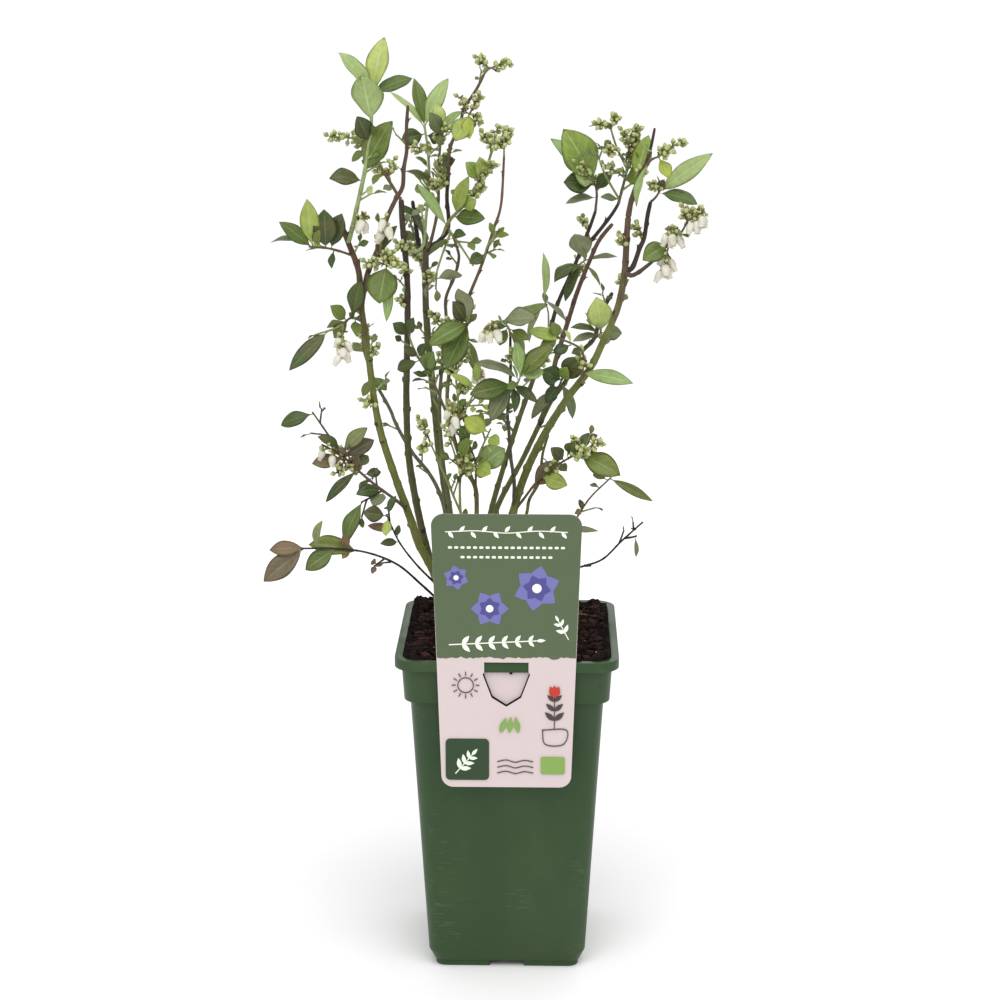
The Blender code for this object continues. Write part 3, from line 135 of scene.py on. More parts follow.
# The canes and boughs: where each starts, the bends it passes, its radius at foot and tip.
# A cane starts at its first bend. A bough starts at a share of its parent's length.
CANES = {
    "cane_left": (None, ((-41, -8, 234), (-49, -11, 268), (-61, -15, 295), (-66, -17, 312),
        (-75, -22, 340), (-84, -27, 371), (-89, -31, 400), (-92, -34, 430), (-96, -37, 461),
        (-97, -40, 484), (-103, -43, 503), (-107, -46, 515)), 3.2, 1.9),
    "cane_straight": (None, ((-41, 6, 231), (-56, 6, 283), (-64, 8, 319), (-69, 10, 354), (-70, 12, 389),
        (-69, 15, 437), (-69, 18, 470), (-72, 22, 506), (-73, 24, 524)), 2.9, 2.0),
    "cane_tall": (None, ((-31, 12, 227), (-41, 18, 304), (-45, 22, 329), (-49, 27, 353), (-52, 32, 385),
        (-56, 38, 422), (-58, 43, 454), (-58, 48, 488)), 3.2, 2.3),
    "cane_red": (None, ((-21, -12, 230), (-21, -22, 317), (-22, -26, 337), (-29, -28, 351),
        (-36, -31, 372), (-40, -34, 396), (-38, -36, 420), (-32, -39, 443), (-26, -43, 466),
        (-17, -47, 489), (-9, -51, 513), (-4, -53, 530), (-2, -57, 561)), 2.0, 0.8),
    "cane_back_left": (None, ((-38, 28, 225), (-45, 38, 303), (-50, 42, 318), (-57, 46, 330),
        (-69, 50, 344), (-80, 56, 362), (-85, 60, 373), (-95, 64, 390)), 1.9, 1.2),
    "cane_thin": (None, ((-34, 2, 228), (-40, 3, 310), (-45, 4, 349), (-47, 3, 384), (-45, 1, 415),
        (-42, -1, 443), (-42, -2, 461), (-36, -4, 476), (-33, -6, 489), (-35, -7, 498)), 1.8, 1.0),
    "cane_inner": (None, ((-20, 8, 226), (-8, 14, 313), (9, 17, 346), (21, 20, 371), (29, 21, 387),
        (39, 22, 401), (48, 23, 419), (58, 24, 430), (62, 25, 446), (70, 26, 461)), 2.3, 1.4),
    "cane_back_right": (None, ((-25, 24, 229), (-13, 42, 304), (-3, 50, 338), (7, 55, 369), (16, 58, 394),
        (26, 62, 422), (33, 65, 447), (44, 68, 472), (54, 71, 497), (59, 73, 511)), 2.4, 1.2),
    "cane_right": (None, ((-15, -6, 226), (3, -12, 315), (10, -13, 339), (22, -16, 367), (39, -20, 396),
        (54, -23, 417), (64, -26, 439), (72, -28, 459), (76, -31, 481), (77, -33, 503),
        (78, -34, 520)), 3.3, 2.1),
    "cane_side": (None, ((-12, 14, 230), (12, 28, 305), (14, 30, 315), (21, 32, 328), (23, 35, 346),
        (27, 37, 360)), 1.6, 1.0),
    "bough_left_bare": (("cane_left", 0.81), ((-91, -34, 484), (-84, -34, 500), (-79, -36, 517),
        (-73, -37, 530), (-68, -38, 539), (-67, -38, 551), (-65, -38, 563), (-65, -38, 577),
        (-64, -38, 591)), 2.0, 1.1),
    "bough_tall_stub": (("cane_tall", 1.0), ((-63, 49, 491), (-65, 51, 505), (-67, 52, 520)), 1.7, 1.4),
    "bough_tall_bud": (("cane_tall", 0.99), ((-49, 45, 493), (-43, 44, 500), (-42, 44, 509),
        (-43, 44, 523), (-42, 44, 538), (-41, 43, 555), (-37, 42, 566), (-33, 41, 576), (-31, 40, 584),
        (-26, 39, 591), (-21, 38, 599), (-17, 36, 607)), 1.6, 1.0),
    "bough_slender": (("cane_right", 0.3), ((4, -22, 342), (2, -27, 357), (1, -33, 374), (0, -38, 391),
        (2, -45, 417), (2, -50, 433), (2, -54, 445)), 1.4, 0.9),
    "bough_back_right": (("cane_inner", 0.6), ((29, 26, 393), (31, 29, 410), (36, 32, 427), (41, 34, 443),
        (47, 36, 462), (55, 38, 482), (61, 39, 495), (70, 40, 506)), 1.9, 1.4),
    "bough_dark_right": (("cane_back_right", 0.9), ((56, 62, 492), (63, 58, 501), (70, 55, 511),
        (74, 53, 518)), 1.5, 1.2),
    "bough_right_bare": (("cane_right", 1.0), ((80, -35, 531), (84, -36, 543), (89, -37, 555),
        (92, -38, 566), (94, -39, 577)), 2.0, 0.9),
    "bough_right_bloom": (("cane_right", 0.88), ((82, -36, 482), (90, -39, 488), (97, -42, 495),
        (103, -45, 503)), 1.5, 1.0),
    "bough_right_dark": (("cane_right", 0.88), ((82, -28, 487), (86, -26, 498), (89, -24, 505),
        (91, -22, 519), (93, -20, 528)), 1.7, 1.4),
}
CANE_SIDES = 6
CANE_STEP = 28.0  # length of a cane's facets
FLARE = 0.3  # how much wider a cane is where it leaves the compost
FLARE_HEIGHT = 9.0

# How shoots, leaves and blossom grow
UP = Vector((0.0, 0.0, 1.0))
FRONT = Vector((0.0, -1.0, 0.0))
GOLDEN = math.radians(137.5)
SHOOT_STEP = 22.0
SHOOT_THIN = 0.65  # a shoot's tip radius beside its foot radius
TWIG_RADIUS = 0.95
TWIG_SIDES = 3
TWIG_BOW = 0.035  # how far a side shoot bows beside its length
SPUR_LENGTH = (6.0, 13.0)
SPUR_RADII = (0.8, 0.6)
SPUR_LEAVES = (1, 2, 2, 3)
SPUR_SOCKETS = (1.0, 0.7, 0.4)
SPUR_SPACING = 45.0
SPUR_SPLAY = math.radians(48)
SPUR_SIZE = (0.55, 0.85)  # how long a spur's leaves are beside its mass's small ones
LEAF_WIDE = (0.44, 0.56)  # width beside length
LEAF_THICK = 0.035
LEAF_SHOULDER = 0.45  # where a leaf is widest
LEAF_RIDGE = 0.34  # where it is thickest
LEAF_HUMP = 0.25  # how high its middle stands beside its curl
LEAF_DROOP = 0.08
LEAF_CURL = (0.02, 0.30)
LEAF_FOLD = (0.05, 0.5)
UPWARD, OUTWARD, LOOSE = 0.62, 0.5, 0.55  # what an unnamed leaf faces: up, out of the crown, by chance
LEAF_SPLAY = (math.radians(68), math.radians(30))
LEAF_START = 0.28
SPACE = 62.0  # how far a mass reaches from its own stem
NAMED_RANK = 3  # parts that the table names have their say before those by rule
RULED_RANK = 5
CLEAR = 0.35
SUNK = 1.6  # how far before a shoot's end a root is sunk
RACEME = 15.0  # length of a stalk that carries buds or bells
RACEME_SHARE = 0.75
STALK_RADII = (0.8, 0.7, 0.6)
STALK_LIFT = 0.6
BELL_SWING = 0.55  # how far a bell hangs outward
BUD_LEAN = 0.9  # how far the last buds lean along their stalk
BUD_LIFT = 0.15
BLOOM_BELLY = 0.62  # where a bud or bell is widest
BLOOM_SIZES = {"buds": (5.6, 3.5), "bells": (11.5, 6.6)}


def twig(at, tip, leaves=0, size=22, tint="green", parts=()):
    """A shoot that leaves its parent at a share of its length and ends at tip."""
    return ("twig", at, tip, leaves, size, tint, parts)


def leaf(at, tip, tint="green", wide=None, turn=None, curl=None):
    """One leaf that stands out, from its place on the shoot to its own tip: its width and hump beside
    its length, and the degrees that its face turns up from the front."""
    given = {"wide": wide, "turn": turn, "curl": curl}
    return ("leaf", at, tip, tint, {key: value for key, value in given.items() if value is not None})


def buds(at, tip, count=6):
    """A raceme of closed green buds."""
    return ("buds", at, tip, count)


def bells(at, tip, count=5):
    """A raceme of hanging white bells."""
    return ("bells", at, tip, count)


# Each mass: the limb that it grows on, the share of that limb's length, the bends and tip of its
# stem, the stem's radius, its small leaves (how many, how long, which tint), and its shoots.
MASSES = {
    "spray_left_tip": ("cane_left", 0.96, ((-99, -50, 515), (-94, -54, 539), (-89, -58, 559),
        (-86, -61, 580), (-85, -63, 602)), 1.8, (1, 13, "green"), (
        leaf(0.8, (-91, -72, 612), "young", 0.62, 165), leaf(0.97, (-78, -58, 635), "young", 0.37, 20),
        leaf(1.0, (-105, -70, 626), "young", 0.37, 50), leaf(1.0, (-60, -54, 610), "green", 0.37, 40),
        leaf(0.66, (-94, -66, 586), "dark", 0.6, 20), leaf(0.46, (-73, -62, 583), "green", 0.47, 30),
        leaf(0.4, (-112, -66, 548), "dark", 0.52, 42, 0.35),
        leaf(0.55, (-78, -52, 560), "yellow", 0.45, 40), bells(0.12, (-90, -58, 523), 3))),
    "spray_left_fan": ("cane_left", 0.925, ((-110, -52, 500), (-127, -60, 503)), 1.0, (1, 12, "green"), (
        leaf(0.92, (-127, -66, 534), "yellow", 0.36, 10), leaf(0.95, (-144, -70, 520), "green", 0.34, 25),
        leaf(1.0, (-151, -66, 507), "grey", 0.26, 72, 0.5),
        leaf(0.62, (-117, -60, 527), "dark", 0.56, 10), leaf(0.5, (-106, -58, 524), "dark", 0.5, 25),
        leaf(0.42, (-113, -58, 489), "dark", 0.4, 30), leaf(0.8, (-120, -66, 514), "green", 0.5, 35))),
    "spray_left_bells": ("bough_left_bare", 0.2, ((-82, -50, 495),
        (-77, -56, 490)), 1.0, (1, 11, "dark"), (
        leaf(1.0, (-82, -64, 467), "green", 0.76, 15), leaf(1.0, (-77, -62, 455), "young", 0.2, 30),
        bells(0.4, (-77, -60, 525), 3), buds(0.9, (-90, -60, 493), 4), buds(0.5, (-73, -64, 499), 4),
        leaf(0.3, (-71, -46, 515), "dark", 0.42, 40))),
    "spray_straight_top": ("cane_straight", 1.0, ((-78, 24, 530), (-84, 22, 542), (-93, 19, 554),
        (-101, 16, 566)), 1.3, (2, 14, "green"), (
        buds(1.0, (-119, 8, 567), 7), leaf(0.4, (-91, 10, 536), "green", 0.4, 50),
        buds(0.28, (-79, 30, 549), 6), leaf(0.18, (-84, 12, 532), "grey", 0.42, 40),
        leaf(0.8, (-105, 14, 550), "green", 0.45, 35))),
    "spray_tall_mid": ("cane_tall", 0.985, ((-51, 46, 502), (-49, 50, 524), (-49, 52, 542),
        (-47, 54, 566)), 1.3, (2, 14, "green"), (
        buds(1.0, (-41, 50, 570), 5), buds(0.84, (-67, 44, 557), 7),
        leaf(1.0, (-50, 58, 586), "young", 0.4, 25), leaf(0.98, (-33, 50, 581), "young", 0.36, 45, 0.35),
        leaf(0.96, (-54, 48, 580), "grey", 0.5, 30), leaf(0.7, (-38, 44, 549), "dark", 0.55, 20),
        leaf(0.58, (-40, 48, 539), "dark", 0.5, 20), leaf(0.48, (-72, 46, 541), "dark", 0.32, 68, 0.45))),
    "spray_young_second": ("cane_straight", 0.88, ((-61, 38, 488), (-59, 46, 499), (-56, 54, 524),
        (-56, 58, 547), (-59, 62, 571)), 1.4, (1, 13, "green"), (
        leaf(1.0, (-43, 66, 602), "young", 0.32, 22), leaf(0.98, (-66, 70, 602), "green", 0.28, 25),
        leaf(0.97, (-82, 58, 593), "young", 0.22, 62), leaf(0.94, (-74, 52, 561), "dark", 0.62, 15),
        leaf(0.93, (-49, 70, 560), "dark", 0.6, 20), leaf(0.24, (-73, 34, 520), "dark", 0.3, 66, 0.5))),
    "spray_tall_buds": ("bough_tall_bud", 1.0, ((-15, 35, 609), (-13, 33, 611)), 0.9, (0, 12, "green"), (
        buds(1.0, (-1, 28, 614), 7), buds(0.9, (-21, 30, 617), 6))),
    "spray_tall_side": ("bough_tall_bud", 0.76, ((-29, 34, 581), (-26, 30, 580)), 0.9, (1, 12, "young"), (
        buds(1.0, (-20, 26, 577), 5), buds(0.9, (-20, 28, 593), 5), buds(0.4, (-33, 26, 592), 3),
        leaf(0.8, (-36, 22, 563), "yellow", 0.62, 20), leaf(1.0, (-27, 22, 565), "yellow", 0.55, 30))),
    "spray_tall_right": ("bough_tall_bud", 0.1, ((-39, 40, 512), (-32, 36, 520), (-24, 32, 525),
        (-19, 29, 537), (-14, 26, 550), (-11, 24, 558)), 1.4, (1, 13, "green"), (
        leaf(0.1, (-28, 26, 539), "yellow", 0.34, 15), leaf(0.22, (-23, 24, 524), "yellow", 0.66, 15),
        leaf(0.06, (-17, 28, 511), "green", 0.46, 25), leaf(0.62, (-29, 22, 549), "yellow", 0.6, 20),
        leaf(0.66, (-20, 16, 553), "yellow", 0.55, 20), buds(1.0, (-17, 22, 568), 6),
        buds(0.9, (-8, 26, 572), 4))),
    "spray_red_top": ("cane_red", 1.0, ((-2, -58, 565), (-2, -59, 567)), 0.8, (0, 12, "green"), (
        buds(1.0, (0, -60, 577), 7), buds(0.7, (-7, -64, 569), 5))),
    "spray_red_side": ("cane_red", 0.79, ((-12, -56, 505), (-8, -60, 511)), 0.8, (0, 9, "green"), (
        leaf(1.0, (1, -66, 512), "green", 0.36, 40), leaf(0.1, (-24, -64, 493), "dark", 0.48, 20),
        leaf(0.9, (-11, -62, 519), "green", 0.45, 30))),
    "spray_thin_top": ("cane_thin", 1.0, ((-36, -9, 502), (-41, -12, 511)), 1.0, (0, 12, "green"), (
        leaf(1.0, (-59, -16, 539), "young", 0.2, 35), leaf(0.3, (-53, -20, 493), "dark", 0.24, 50, 0.3),
        leaf(0.5, (-28, -20, 506), "dark", 0.45, 30),
        twig(0.6, (-49, -24, 475), 0, 9, "green", (leaf(1.0, (-30, -28, 481), "grey", 0.46, 145),)),
        twig(0.7, (-23, -18, 485), 0, 9, "green"))),
    "spray_left_low": ("cane_left", 0.77, ((-101, -46, 455), (-108, -54, 451)), 1.1, (1, 12, "green"), (
        twig(1.0, (-116, -66, 449), 0, 9, "dark", (leaf(1.0, (-140, -74, 425), "dark", 0.27, 20),)),
        bells(0.9, (-106, -66, 436), 6), leaf(0.45, (-95, -52, 480), "dark", 0.42, 20),
        leaf(0.7, (-113, -62, 465), "green", 0.46, 35), leaf(0.6, (-113, -50, 442), "green", 0.52, 25),
        leaf(0.3, (-97, -56, 445), "green", 0.5, 30))),
    "spray_straight_low": ("cane_red", 0.45, ((-47, -28, 404), (-53, -20, 412),
        (-61, -10, 423)), 1.1, (1, 12, "green"), (
        leaf(0.98, (-70, -12, 430), "dark", 0.48, 22), leaf(0.92, (-75, -10, 414), "dark", 0.48, 20),
        leaf(1.0, (-55, -16, 433), "dark", 0.5, 30), leaf(0.6, (-63, -26, 415), "dark", 0.34, 40),
        leaf(0.72, (-49, -30, 430), "green", 0.6, 20),
        twig(1.0, (-67, -4, 437), 0, 12, "dark", (leaf(1.0, (-77, -8, 445), "dark", 0.56, 25),
        leaf(0.9, (-64, -12, 449), "dark", 0.5, 30))))),
    "spray_tall_low": ("cane_red", 0.63, ((-27, -44, 450), (-24, -50, 453)), 1.1, (2, 12, "green"), (
        leaf(0.9, (-51, -60, 439), "green", 0.42, 30), leaf(1.0, (-31, -58, 477), "grey", 0.42, 155),
        leaf(0.6, (-35, -54, 467), "dark", 0.5, 20), leaf(0.8, (-40, -54, 423), "green", 0.5, 25))),
    "spray_outer_left": ("cane_left", 0.3, ((-75, -24, 327), (-82, -22, 331), (-92, -18, 338),
        (-100, -14, 344), (-107, -12, 350), (-112, -10, 354)), 1.3, (1, 12, "plum"), (
        twig(0.98, (-133, -2, 383), 0, 12, "dark", (leaf(1.0, (-155, -2, 374), "dark", 0.42, 35, 0.3),
        leaf(0.12, (-128, -14, 369), "dark", 0.42, 50, 0.45),
        leaf(0.1, (-96, -8, 374), "grey", 0.4, 30))), bells(0.97, (-125, -22, 365), 2),
        buds(0.95, (-115, -18, 344), 4), leaf(0.96, (-132, -18, 351), "plum", 0.42, 20),
        leaf(0.97, (-91, -6, 365), "plum", 0.46, 22), leaf(0.76, (-95, -6, 354), "grey", 0.6, 20),
        leaf(0.62, (-86, -12, 344), "dark", 0.5, 25), leaf(0.72, (-123, -24, 326), "dark", 0.24, 25),
        leaf(0.3, (-101, -34, 334), "dark", 0.44, 40, 0.4), leaf(0.25, (-90, -34, 325), "grey", 0.6, 40),
        leaf(0.52, (-100, -26, 335), "dark", 0.4, 30),
        twig(0.28, (-99, -26, 326), 0, 9, "dark", (leaf(1.0, (-110, -34, 300), "green", 0.36, 30, 0.3),)))),
    "spray_low_left": ("cane_left", 0.055, ((-56, -26, 266), (-68, -34, 281), (-80, -42, 290),
        (-95, -50, 298), (-114, -60, 303), (-135, -68, 305)), 1.0, (1, 11, "plum"), (
        leaf(1.0, (-160, -74, 284), "plum", 0.42, 15), leaf(0.97, (-156, -70, 305), "plum", 0.4, 35),
        leaf(0.92, (-122, -70, 324), "grey", 0.3, 35), leaf(0.8, (-133, -66, 290), "green", 0.48, 25),
        leaf(0.66, (-131, -58, 306), "green", 0.4, 40), leaf(0.74, (-108, -58, 313), "plum", 0.5, 30))),
    "spray_low_left_inner": ("cane_left", 0.1, ((-62, -26, 283), (-68, -30, 291), (-74, -34, 303),
        (-81, -38, 321)), 0.9, (1, 11, "dark"), (
        leaf(1.0, (-96, -42, 323), "dark", 0.62, 20), leaf(0.96, (-81, -46, 308), "yellow", 0.48, 20),
        leaf(0.98, (-75, -34, 333), "dark", 0.4, 35), leaf(0.8, (-94, -34, 312), "plum", 0.34, 40),
        leaf(0.66, (-85, -44, 302), "dark", 0.34, 40))),
    "spray_vine": ("cane_red", 0.1, ((-31, -30, 315), (-32, -34, 340), (-32, -37, 355), (-29, -39, 366),
        (-32, -41, 383), (-32, -43, 397), (-34, -45, 414), (-32, -47, 433),
        (-26, -49, 443)), 1.1, (1, 10, "green"), (
        twig(0.66, (-19, -52, 412), 0, 12, "green", (leaf(0.9, (-37, -56, 420), "yellow", 0.26, 30),
        leaf(1.0, (-19, -50, 428), "yellow", 0.36, 30), leaf(1.0, (-4, -70, 414), "yellow", 0.34, 40))),
        twig(0.27, (-52, -30, 369), 0, 12, "dark", (buds(1.0, (-58, -34, 385), 6),
        buds(0.95, (-56, -36, 366), 5))), bells(0.62, (-37, -52, 398), 4), buds(0.44, (-40, -50, 382), 4),
        leaf(0.5, (-26, -46, 375), "green", 0.5, 30), leaf(1.0, (-19, -52, 440), "grey", 0.3, 40))),
    "spray_slender_top": ("bough_slender", 1.0, ((1, -60, 451), (-4, -66, 457)), 0.9, (2, 13, "green"), (
        bells(1.0, (-14, -74, 453), 6), leaf(1.0, (19, -70, 459), "grey", 0.6, 42),
        leaf(0.7, (26, -54, 466), "green", 0.34, 55), leaf(0.5, (-5, -64, 440), "green", 0.5, 20),
        leaf(0.4, (14, -62, 444), "green", 0.46, 30), leaf(0.3, (12, -52, 432), "grey", 0.34, 40))),
    "spray_slender_mid": ("bough_slender", 0.72, ((6, -55, 412), (9, -60, 420)), 0.9, (1, 12, "young"), (
        leaf(0.8, (-23, -62, 428), "grey", 0.3, 66, 0.5), leaf(1.0, (6, -62, 443), "young", 0.36, 25),
        leaf(0.9, (30, -60, 440), "green", 0.42, 35), leaf(1.0, (24, -62, 423), "young", 0.5, 30),
        leaf(0.7, (0, -62, 411), "green", 0.6, 20), leaf(0.9, (15, -56, 434), "green", 0.46, 30),
        leaf(0.2, (-24, -58, 407), "green", 0.44, 20), leaf(0.1, (20, -56, 401), "dark", 0.3, 35),
        leaf(0.1, (-11, -56, 389), "grey", 0.44, 25), leaf(0.1, (5, -58, 395), "dark", 0.36, 40))),
    "spray_red_low": ("cane_red", 0.27, ((-22, -34, 360), (-26, -38, 371)), 1.0, (1, 12, "young"), (
        twig(0.4, (-11, -44, 381), 0, 12, "yellow", (leaf(0.9, (-28, -50, 389), "yellow", 0.62, 15),
        leaf(0.8, (-5, -50, 372), "yellow", 0.66, 25))), leaf(0.45, (-11, -46, 351), "yellow", 0.66, 15),
        leaf(1.0, (-30, -46, 383), "green", 0.5, 30), leaf(0.3, (-2, -26, 364), "young", 0.66, 20))),
    "spray_inner_mid": ("cane_inner", 0.63, ((35, 14, 400), (36, 8, 405)), 1.0, (2, 14, "green"), (
        leaf(1.0, (49, 2, 420), "dark", 0.66, 15), leaf(0.8, (44, 4, 378), "grey", 0.3, 40),
        leaf(0.6, (15, 2, 379), "grey", 0.3, 45), leaf(0.9, (22, 0, 412), "dark", 0.7, 15),
        leaf(0.7, (25, 4, 389), "dark", 0.5, 20), leaf(0.9, (39, 0, 414), "yellow", 0.6, 20))),
    "spray_inner_top": ("cane_inner", 0.86, ((62, 18, 434), (62, 12, 436)), 1.0, (2, 14, "grey"), (
        leaf(1.0, (59, 6, 460), "young", 0.62, 12), leaf(0.8, (76, 8, 436), "grey", 0.62, 20),
        leaf(0.5, (42, 12, 440), "dark", 0.3, 60, 0.35), leaf(0.4, (43, 10, 430), "grey", 0.3, 50, 0.3))),
    "spray_right_low": ("cane_right", 0.29, ((19, -20, 339), (28, -26, 349), (39, -34, 358),
        (49, -42, 364), (54, -46, 369)), 1.1, (1, 13, "dark"), (
        buds(1.0, (61, -50, 374), 4), leaf(0.2, (34, -18, 354), "plum", 0.5, 20),
        leaf(0.34, (40, -32, 340), "yellow", 0.56, 15), leaf(0.66, (29, -38, 367), "dark", 0.62, 20),
        leaf(0.84, (54, -36, 377), "dark", 0.42, 15), leaf(0.86, (74, -54, 353), "green", 0.46, 22),
        leaf(0.6, (39, -40, 352), "dark", 0.6, 20), leaf(0.74, (43, -46, 372), "dark", 0.6, 25),
        leaf(0.88, (58, -48, 352), "plum", 0.22, 30))),
    "spray_right_outer": ("cane_inner", 0.14, ((25, 20, 283), (47, 26, 302), (56, 30, 316), (64, 33, 328),
        (71, 35, 330)), 1.0, (1, 11, "dark"), (
        leaf(1.0, (100, 34, 313), "green", 0.2, 20, 0.2), leaf(0.97, (58, 40, 331), "plum", 0.4, 40),
        leaf(0.56, (62, 24, 294), "grey", 0.2, 40), leaf(0.72, (46, 18, 308), "plum", 0.4, 30),
        leaf(0.9, (56, 44, 323), "grey", 0.26, 50))),
    "spray_dead_twig": ("cane_right", 0.07, ((25, -16, 266), (49, -26, 282), (67, -34, 291),
        (75, -38, 302), (90, -44, 318)), 1.0, (0, 9, "dark"), (
        twig(0.86, (86, -46, 309), 0, 8, "dark", (leaf(1.0, (86, -48, 295), "grey", 0.24, 30),)),
        twig(0.56, (56, -34, 285), 0, 8, "dark"), twig(0.94, (83, -34, 311), 0, 8, "dark"))),
    "spray_right_side": ("cane_right", 0.6, ((53, -30, 424), (47, -34, 433), (38, -38, 441),
        (32, -42, 442)), 1.1, (1, 13, "young"), (
        leaf(0.05, (82, -42, 412), "young", 0.26, 30), leaf(1.0, (29, -46, 452), "green", 0.58, 15),
        leaf(0.95, (21, -50, 436), "green", 0.46, 25), leaf(0.7, (30, -44, 432), "dark", 0.5, 30),
        leaf(0.9, (13, -48, 447), "yellow", 0.36, 40), leaf(0.5, (42, -42, 431), "dark", 0.5, 30))),
    "spray_back_mid": ("cane_back_right", 0.69, ((26, 58, 446), (23, 55, 453)), 0.8, (1, 12, "grey"), (
        leaf(1.0, (23, 52, 485), "young", 0.2, 40), leaf(0.9, (39, 48, 437), "grey", 0.26, 60, 0.35),
        leaf(0.8, (12, 54, 422), "grey", 0.26, 60, 0.35))),
    "spray_back_right_mid": ("cane_back_right", 0.84, ((50, 62, 477),
        (53, 58, 479)), 0.9, (1, 13, "green"), (
        leaf(1.0, (44, 54, 497), "grey", 0.74, 160), leaf(0.9, (74, 56, 482), "grey", 0.24, 60),
        leaf(0.5, (30, 54, 465), "dark", 0.48, 56, 0.45), leaf(0.7, (63, 56, 462), "green", 0.22, 55),
        leaf(0.6, (37, 58, 450), "dark", 0.26, 40))),
    "spray_back_right_top": ("cane_back_right", 1.0, ((58, 74, 518), (60, 72, 526),
        (57, 70, 534)), 1.1, (1, 14, "green"), (
        leaf(1.0, (37, 58, 568), "yellow", 0.56, 12), leaf(0.97, (28, 74, 561), "young", 0.3, 30),
        leaf(0.85, (44, 60, 539), "young", 0.66, 20), leaf(0.78, (37, 62, 532), "dark", 0.66, 20),
        leaf(0.35, (38, 62, 517), "grey", 0.3, 50, 0.3), leaf(0.6, (70, 64, 539), "dark", 0.46, 20),
        buds(1.0, (46, 56, 545), 5))),
    "spray_dark_right_top": ("bough_dark_right", 1.0, ((77, 51, 528), (79, 49, 539), (81, 46, 550),
        (83, 44, 562)), 1.2, (1, 13, "green"), (
        buds(1.0, (86, 40, 571), 5), buds(0.8, (77, 38, 569), 6),
        twig(0.55, (67, 40, 573), 0, 12, "dark", (buds(1.0, (59, 36, 573), 6),
        buds(0.9, (71, 36, 578), 5), buds(0.5, (67, 32, 555), 5))), buds(0.4, (64, 40, 546), 5),
        twig(0.05, (57, 46, 558), 0, 9, "dark"), leaf(0.05, (62, 44, 524), "grey", 0.34, 40),
        leaf(0.35, (92, 34, 542), "green", 0.5, 30),
        twig(0.2, (86, 40, 536), 0, 9, "green", (leaf(1.0, (93, 36, 566), "yellow", 0.4, 20),)))),
    "spray_right_top": ("bough_right_bare", 0.56, ((94, -46, 559),
        (97, -50, 560)), 1.0, (0, 12, "young"), (
        leaf(0.05, (82, -46, 528), "young", 0.24, 50), leaf(1.0, (103, -56, 547), "yellow", 0.5, 20),
        buds(1.0, (102, -56, 565), 7), buds(0.8, (111, -52, 570), 5))),
    "spray_right_dark_top": ("bough_right_dark", 1.0, ((96, -20, 530),
        (99, -22, 536)), 1.0, (1, 11, "green"), (
        leaf(1.0, (132, -28, 560), "young", 0.27, 20), leaf(0.7, (123, -30, 528), "green", 0.4, 48),
        buds(0.9, (94, -30, 540), 5), leaf(0.95, (101, -30, 543), "plum", 0.5, 20))),
    "spray_right_bloom": ("bough_right_bloom", 1.0, ((107, -48, 508), (112, -51, 512),
        (116, -54, 521)), 1.0, (0, 11, "green"), (
        bells(1.0, (126, -58, 526), 6), bells(0.55, (103, -58, 515), 6), bells(0.05, (101, -54, 490), 6),
        leaf(0.02, (87, -54, 494), "green", 0.6, 20), buds(0.9, (113, -56, 527), 4))),
    "spray_back_left": ("cane_back_left", 1.0, ((-104, 72, 414),
        (-104, 76, 440)), 1.0, (3, 15, "green"), (
        leaf(0.1, (-87, 60, 386), "green", 0.5, 30), leaf(0.05, (-104, 62, 381), "green", 0.5, 35),
        leaf(1.0, (-110, 84, 452), "dark", 0.36, 30))),
    "spray_back_high": ("cane_tall", 0.84, ((-62, 62, 476), (-72, 84, 506)), 1.1, (3, 16, "dark"), (
        leaf(1.0, (-75, 92, 512), "dark", 0.36, 30), buds(0.9, (-62, 92, 512), 4),
        twig(0.5, (-50, 92, 488), 2, 14, "dark"))),
    "spray_back_low": ("cane_back_right", 0.45, ((-8, 72, 366), (-24, 84, 392)), 1.1, (3, 15, "green"), (
        twig(0.5, (14, 92, 388), 2, 14, "dark"), leaf(1.0, (-34, 88, 420), "green", 0.3, 40),
        bells(0.9, (-24, 92, 398), 4))),
}


# Growth: the rule that turns the two tables into limbs, shoots, leaves and buds

def smooth(knots, step):
    """Points every step or so along one smooth curve through the knots."""
    knots = [Vector(k) for k in knots]
    line = [2 * knots[0] - knots[1], *knots, 2 * knots[-1] - knots[-2]]
    points = [knots[0]]
    for a, b, c, d in zip(line, line[1:], line[2:], line[3:]):
        count = max(1, round((c - b).length / step))
        for i in range(1, count + 1):
            t = i / count
            points.append(0.5 * (2 * b + (c - a) * t + (2 * a - 5 * b + 4 * c - d) * t * t
                                 + (3 * b - a - 3 * c + d) * t ** 3))
    return points


def span(points):
    """The length of a path."""
    return sum((b - a).length for a, b in zip(points, points[1:]))


def along(points, share):
    """The place and heading at a share of a path's length."""
    lengths = [(b - a).length for a, b in zip(points, points[1:])]
    left = share * sum(lengths)
    for a, b, length in zip(points, points[1:], lengths):
        if left <= length or b is points[-1]:
            return a.lerp(b, min(1.0, left / length)), (b - a).normalized()
        left -= length


def socket(points, share):
    """Where a part's root is sunk into a shoot, never nearer its end than a good bite."""
    return along(points, min(share, 1 - SUNK / span(points)))


def side_of(heading):
    """A steady direction square to a heading."""
    across = heading.cross(Vector((0.0, 0.0, 1.0)))
    if across.length < 0.1:
        across = heading.cross(Vector((0.0, 1.0, 0.0)))
    return across.normalized()


def around(heading, turn, side=None):
    """The way square to a heading at a turn from its side."""
    side = side_of(heading) if side is None else side
    return math.cos(turn) * side + math.sin(turn) * heading.cross(side)


def carried_on(points, i, side):
    """The heading of a path at a point, and the side used before it, made square to that."""
    ahead = (points[min(i + 1, len(points) - 1)] - points[max(i - 1, 0)]).normalized()
    return ahead, (side - ahead * side.dot(ahead)).normalized()


